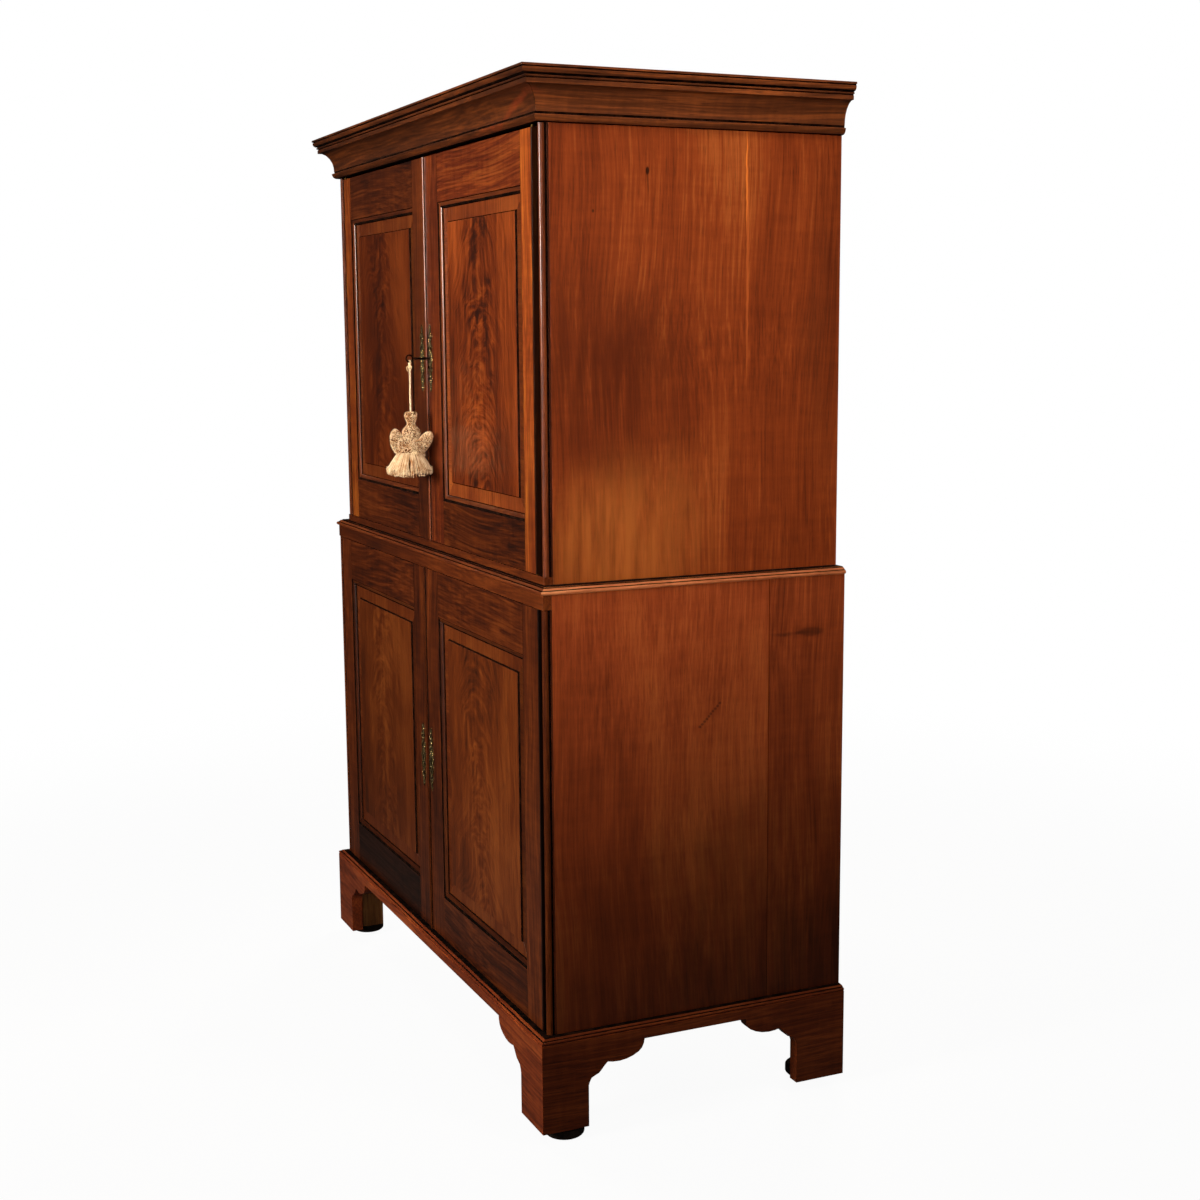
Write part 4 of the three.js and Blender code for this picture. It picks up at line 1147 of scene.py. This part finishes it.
def make_ruff(finish):
    """The ruff: two wings that stand out at the sides, lobes between them and a band of loops below."""
    core = turned_core("tassel_ruff", axis_at(0) - Vector((0, 2 * millimetre, 0)), ruff_outline, 0.95)
    paths = []
    for centre, axes, count in ruff_lobes():
        joined(core, lobe_core(centre, axes))
        paths.extend(lobe_loops(centre, axes, count, lobe_loop))
    for number in range(ruff_loops):
        turn = full_turn * number / loops_round + hand.uniform(-0.1, 0.1)
        down = hand.uniform(62, 90)
        way = Vector((math.cos(turn), 0.95 * math.sin(turn), 0))
        radius = down - 44 if down < 70 else 27.5
        centre = axis_at(down) + way * (radius * millimetre)
        paths.append(small_loop(centre, way.normalized(), hand.uniform(1.0, 2.0) * millimetre))
    joined(core, tube_mesh("ruff_loops", paths, loose_thread, 3))
    dress(core, finish, "tassel")


def make_skirt(finish):
    """Straight strands that flare to an uneven hem, parted in places, with looped ends."""
    centre = Vector((0, -3.5 * millimetre, 0))
    core = turned_core("tassel_skirt", axis_at(0) + centre, skirt_outline, 0.95)
    paths, ends = [], []
    partings = [hand.uniform(0, full_turn) for _ in range(parting_count)]
    for layer, count in ((0, 330), (1, 210)):
        for number in range(count):
            turn = full_turn * (number + hand.uniform(-0.4, 0.4)) / count
            gap = min(abs(turn_between(turn, place)) for place in partings)
            if gap < parting_width and layer == 0:
                continue
            side = math.cos(turn) * towards_right.x + math.sin(turn) * towards_right.y
            long = 1 + hand.uniform(-0.05, 0.04)
            flare = 1 + hand.uniform(-0.03, 0.03) - 0.06 * layer
            low = (129 - 5 * side * side) * long - 2
            drift = hand.uniform(-0.05, 0.05)
            off = turn_between(turn, open_place)
            part_by = math.copysign(open_reach, off) * math.exp(-(off / open_width) ** 2)
            strand = []
            for radius, down, drifted, parted in (
                    *strand_top, (48.5, low - 4, 1, 0.1), (47.5, low, 1.1, 0)):
                angle = turn + drift * drifted + part_by * parted
                radius *= flare
                deep = 0.92 if math.sin(angle) > 0 else 1.0
                strand.append(axis_at(down) + centre + Vector((
                    1.08 * radius * math.cos(angle), radius * math.sin(angle) * deep, 0)) * millimetre)
            paths.append(strand)
            if layer == 0:
                ends.append(strand[-1])
    joined(core, tube_mesh("skirt_strands", paths, loose_thread))
    loops = [small_loop(end + Vector((0, 0, hand.uniform(-0.5, 2.5))) * millimetre,
                        (end - axis_at(137) - centre).normalized(), hand.uniform(1.0, 1.9) * millimetre)
             for end in ends]
    joined(core, tube_mesh("hem_loops", loops, hem_thread, 3))
    dress(core, finish, "tassel")


def make_tassel():
    thread = thread_finish("cream_thread", (172, 110, 54), (252, 230, 190), (96, 54, 21))
    cord_thread = thread_finish("cream_cord", (190, 156, 108), (250, 230, 190), (190, 156, 108))
    cord, line, knot = make_cord(cord_thread)
    head = make_head(thread)
    make_ruff(thread)
    make_skirt(thread)


floor_size = 60
floor_level = -0.6 * millimetre
lamp_color = (1.0, 0.95, 0.88)


def make_floor():
    """A floor that looks pale, but throws little light on the polish."""
    bpy.ops.mesh.primitive_plane_add(size=floor_size, location=(0, 0, floor_level))
    floor = bpy.context.object
    floor.name = "floor"
    material, tree, where, shader = new_material("floor")
    tree.nodes.remove(shader)
    seen = add_node(tree, "LightPath").outputs["Is Camera Ray"]
    near = span(vector_calc("LENGTH", where).outputs["Value"], 1.0, 3.5, 0.05, 0.0, "SMOOTHSTEP")
    dull = add_node(tree, "BsdfDiffuse", {"Color": (0.07, 0.06, 0.055, 1)})
    lit = add_node(tree, "BsdfDiffuse", {"Color": (0.9, 0.9, 0.9, 1)})
    glow = add_node(tree, "Emission", {"Color": (1, 1, 1, 1), "Strength": 1.0})
    pale = add_node(tree, "MixShader", {0: near, 1: glow.outputs[0], 2: lit.outputs[0]})
    both = add_node(tree, "MixShader", {0: seen, 1: dull.outputs[0], 2: pale.outputs[0]})
    link(both.outputs[0], tree.nodes["Material Output"].inputs[0])
    floor.data.materials.append(material)


def make_sky():
    """A white sky to look at, which lights the press only a little."""
    bpy.context.scene.view_settings.view_transform = "Standard"
    world = bpy.data.worlds.new("studio")
    bpy.context.scene.world = world
    world.use_nodes = True
    tree = world.node_tree
    tree.nodes.clear()
    path = add_node(tree, "LightPath").outputs
    strength = total(times_plus(path["Is Diffuse Ray"], 0.06, 0.015), path["Is Camera Ray"], clamp=True)
    color = blend(path["Is Camera Ray"], (1.0, 0.9, 0.8, 1), (1, 1, 1, 1))
    sky = add_node(tree, "Background", {"Color": color, "Strength": strength})
    link(sky.outputs[0], add_node(tree, "OutputWorld").inputs[0])


def soft_box(name, azimuth, distance, height, aim_height, width, tall, power, spread, mirrored):
    """A softbox that faces the press, azimuth in degrees from +X, with its light held in a cone."""
    data = bpy.data.lights.new(name, "AREA")
    data.shape = "RECTANGLE"
    data.size, data.size_y = width, tall
    data.energy = power
    data.color = lamp_color
    data.spread = math.radians(spread)
    lamp = bpy.data.objects.new(name, data)
    bpy.context.scene.collection.objects.link(lamp)
    turn = math.radians(azimuth)
    lamp.location = (distance * math.cos(turn), distance * math.sin(turn), height)
    aim = Vector((0, 0, aim_height)) - lamp.location
    lamp.rotation_euler = aim.to_track_quat("-Z", "Y").to_euler()
    lamp.visible_camera = False
    lamp.visible_glossy = mirrored


# The softboxes, with the values of soft_box in its order
softboxes = {
    "front": (-80, 4.5, 2.3, 1.3, 1.1, 1.5, 37, 70, True),
    "middle": (-50, 4.5, 2.3, 1.6, 1.9, 1.8, 3, 40, False),
    "side": (-22, 4.5, 2.3, 1.7, 1.9, 1.8, 10.5, 30, False),
    "high_right": (27, 3.1, 4.6, 1.2, 0.9, 0.9, 8, 60, False),
    "high_left": (-157, 3.1, 4.4, 1.2, 0.9, 0.9, 6, 60, False),
    "rear": (138, 4.5, 2.6, 1.0, 1.6, 1.6, 20, 60, False),
}

place_camera()
make_case()
make_doors()
make_fittings()
for index in (1, 2, 3):
    make_tray(f"tray_{index}")
make_tassel()
make_floor()
make_sky()
for name, values in softboxes.items():
    soft_box("softbox_" + name, *values)
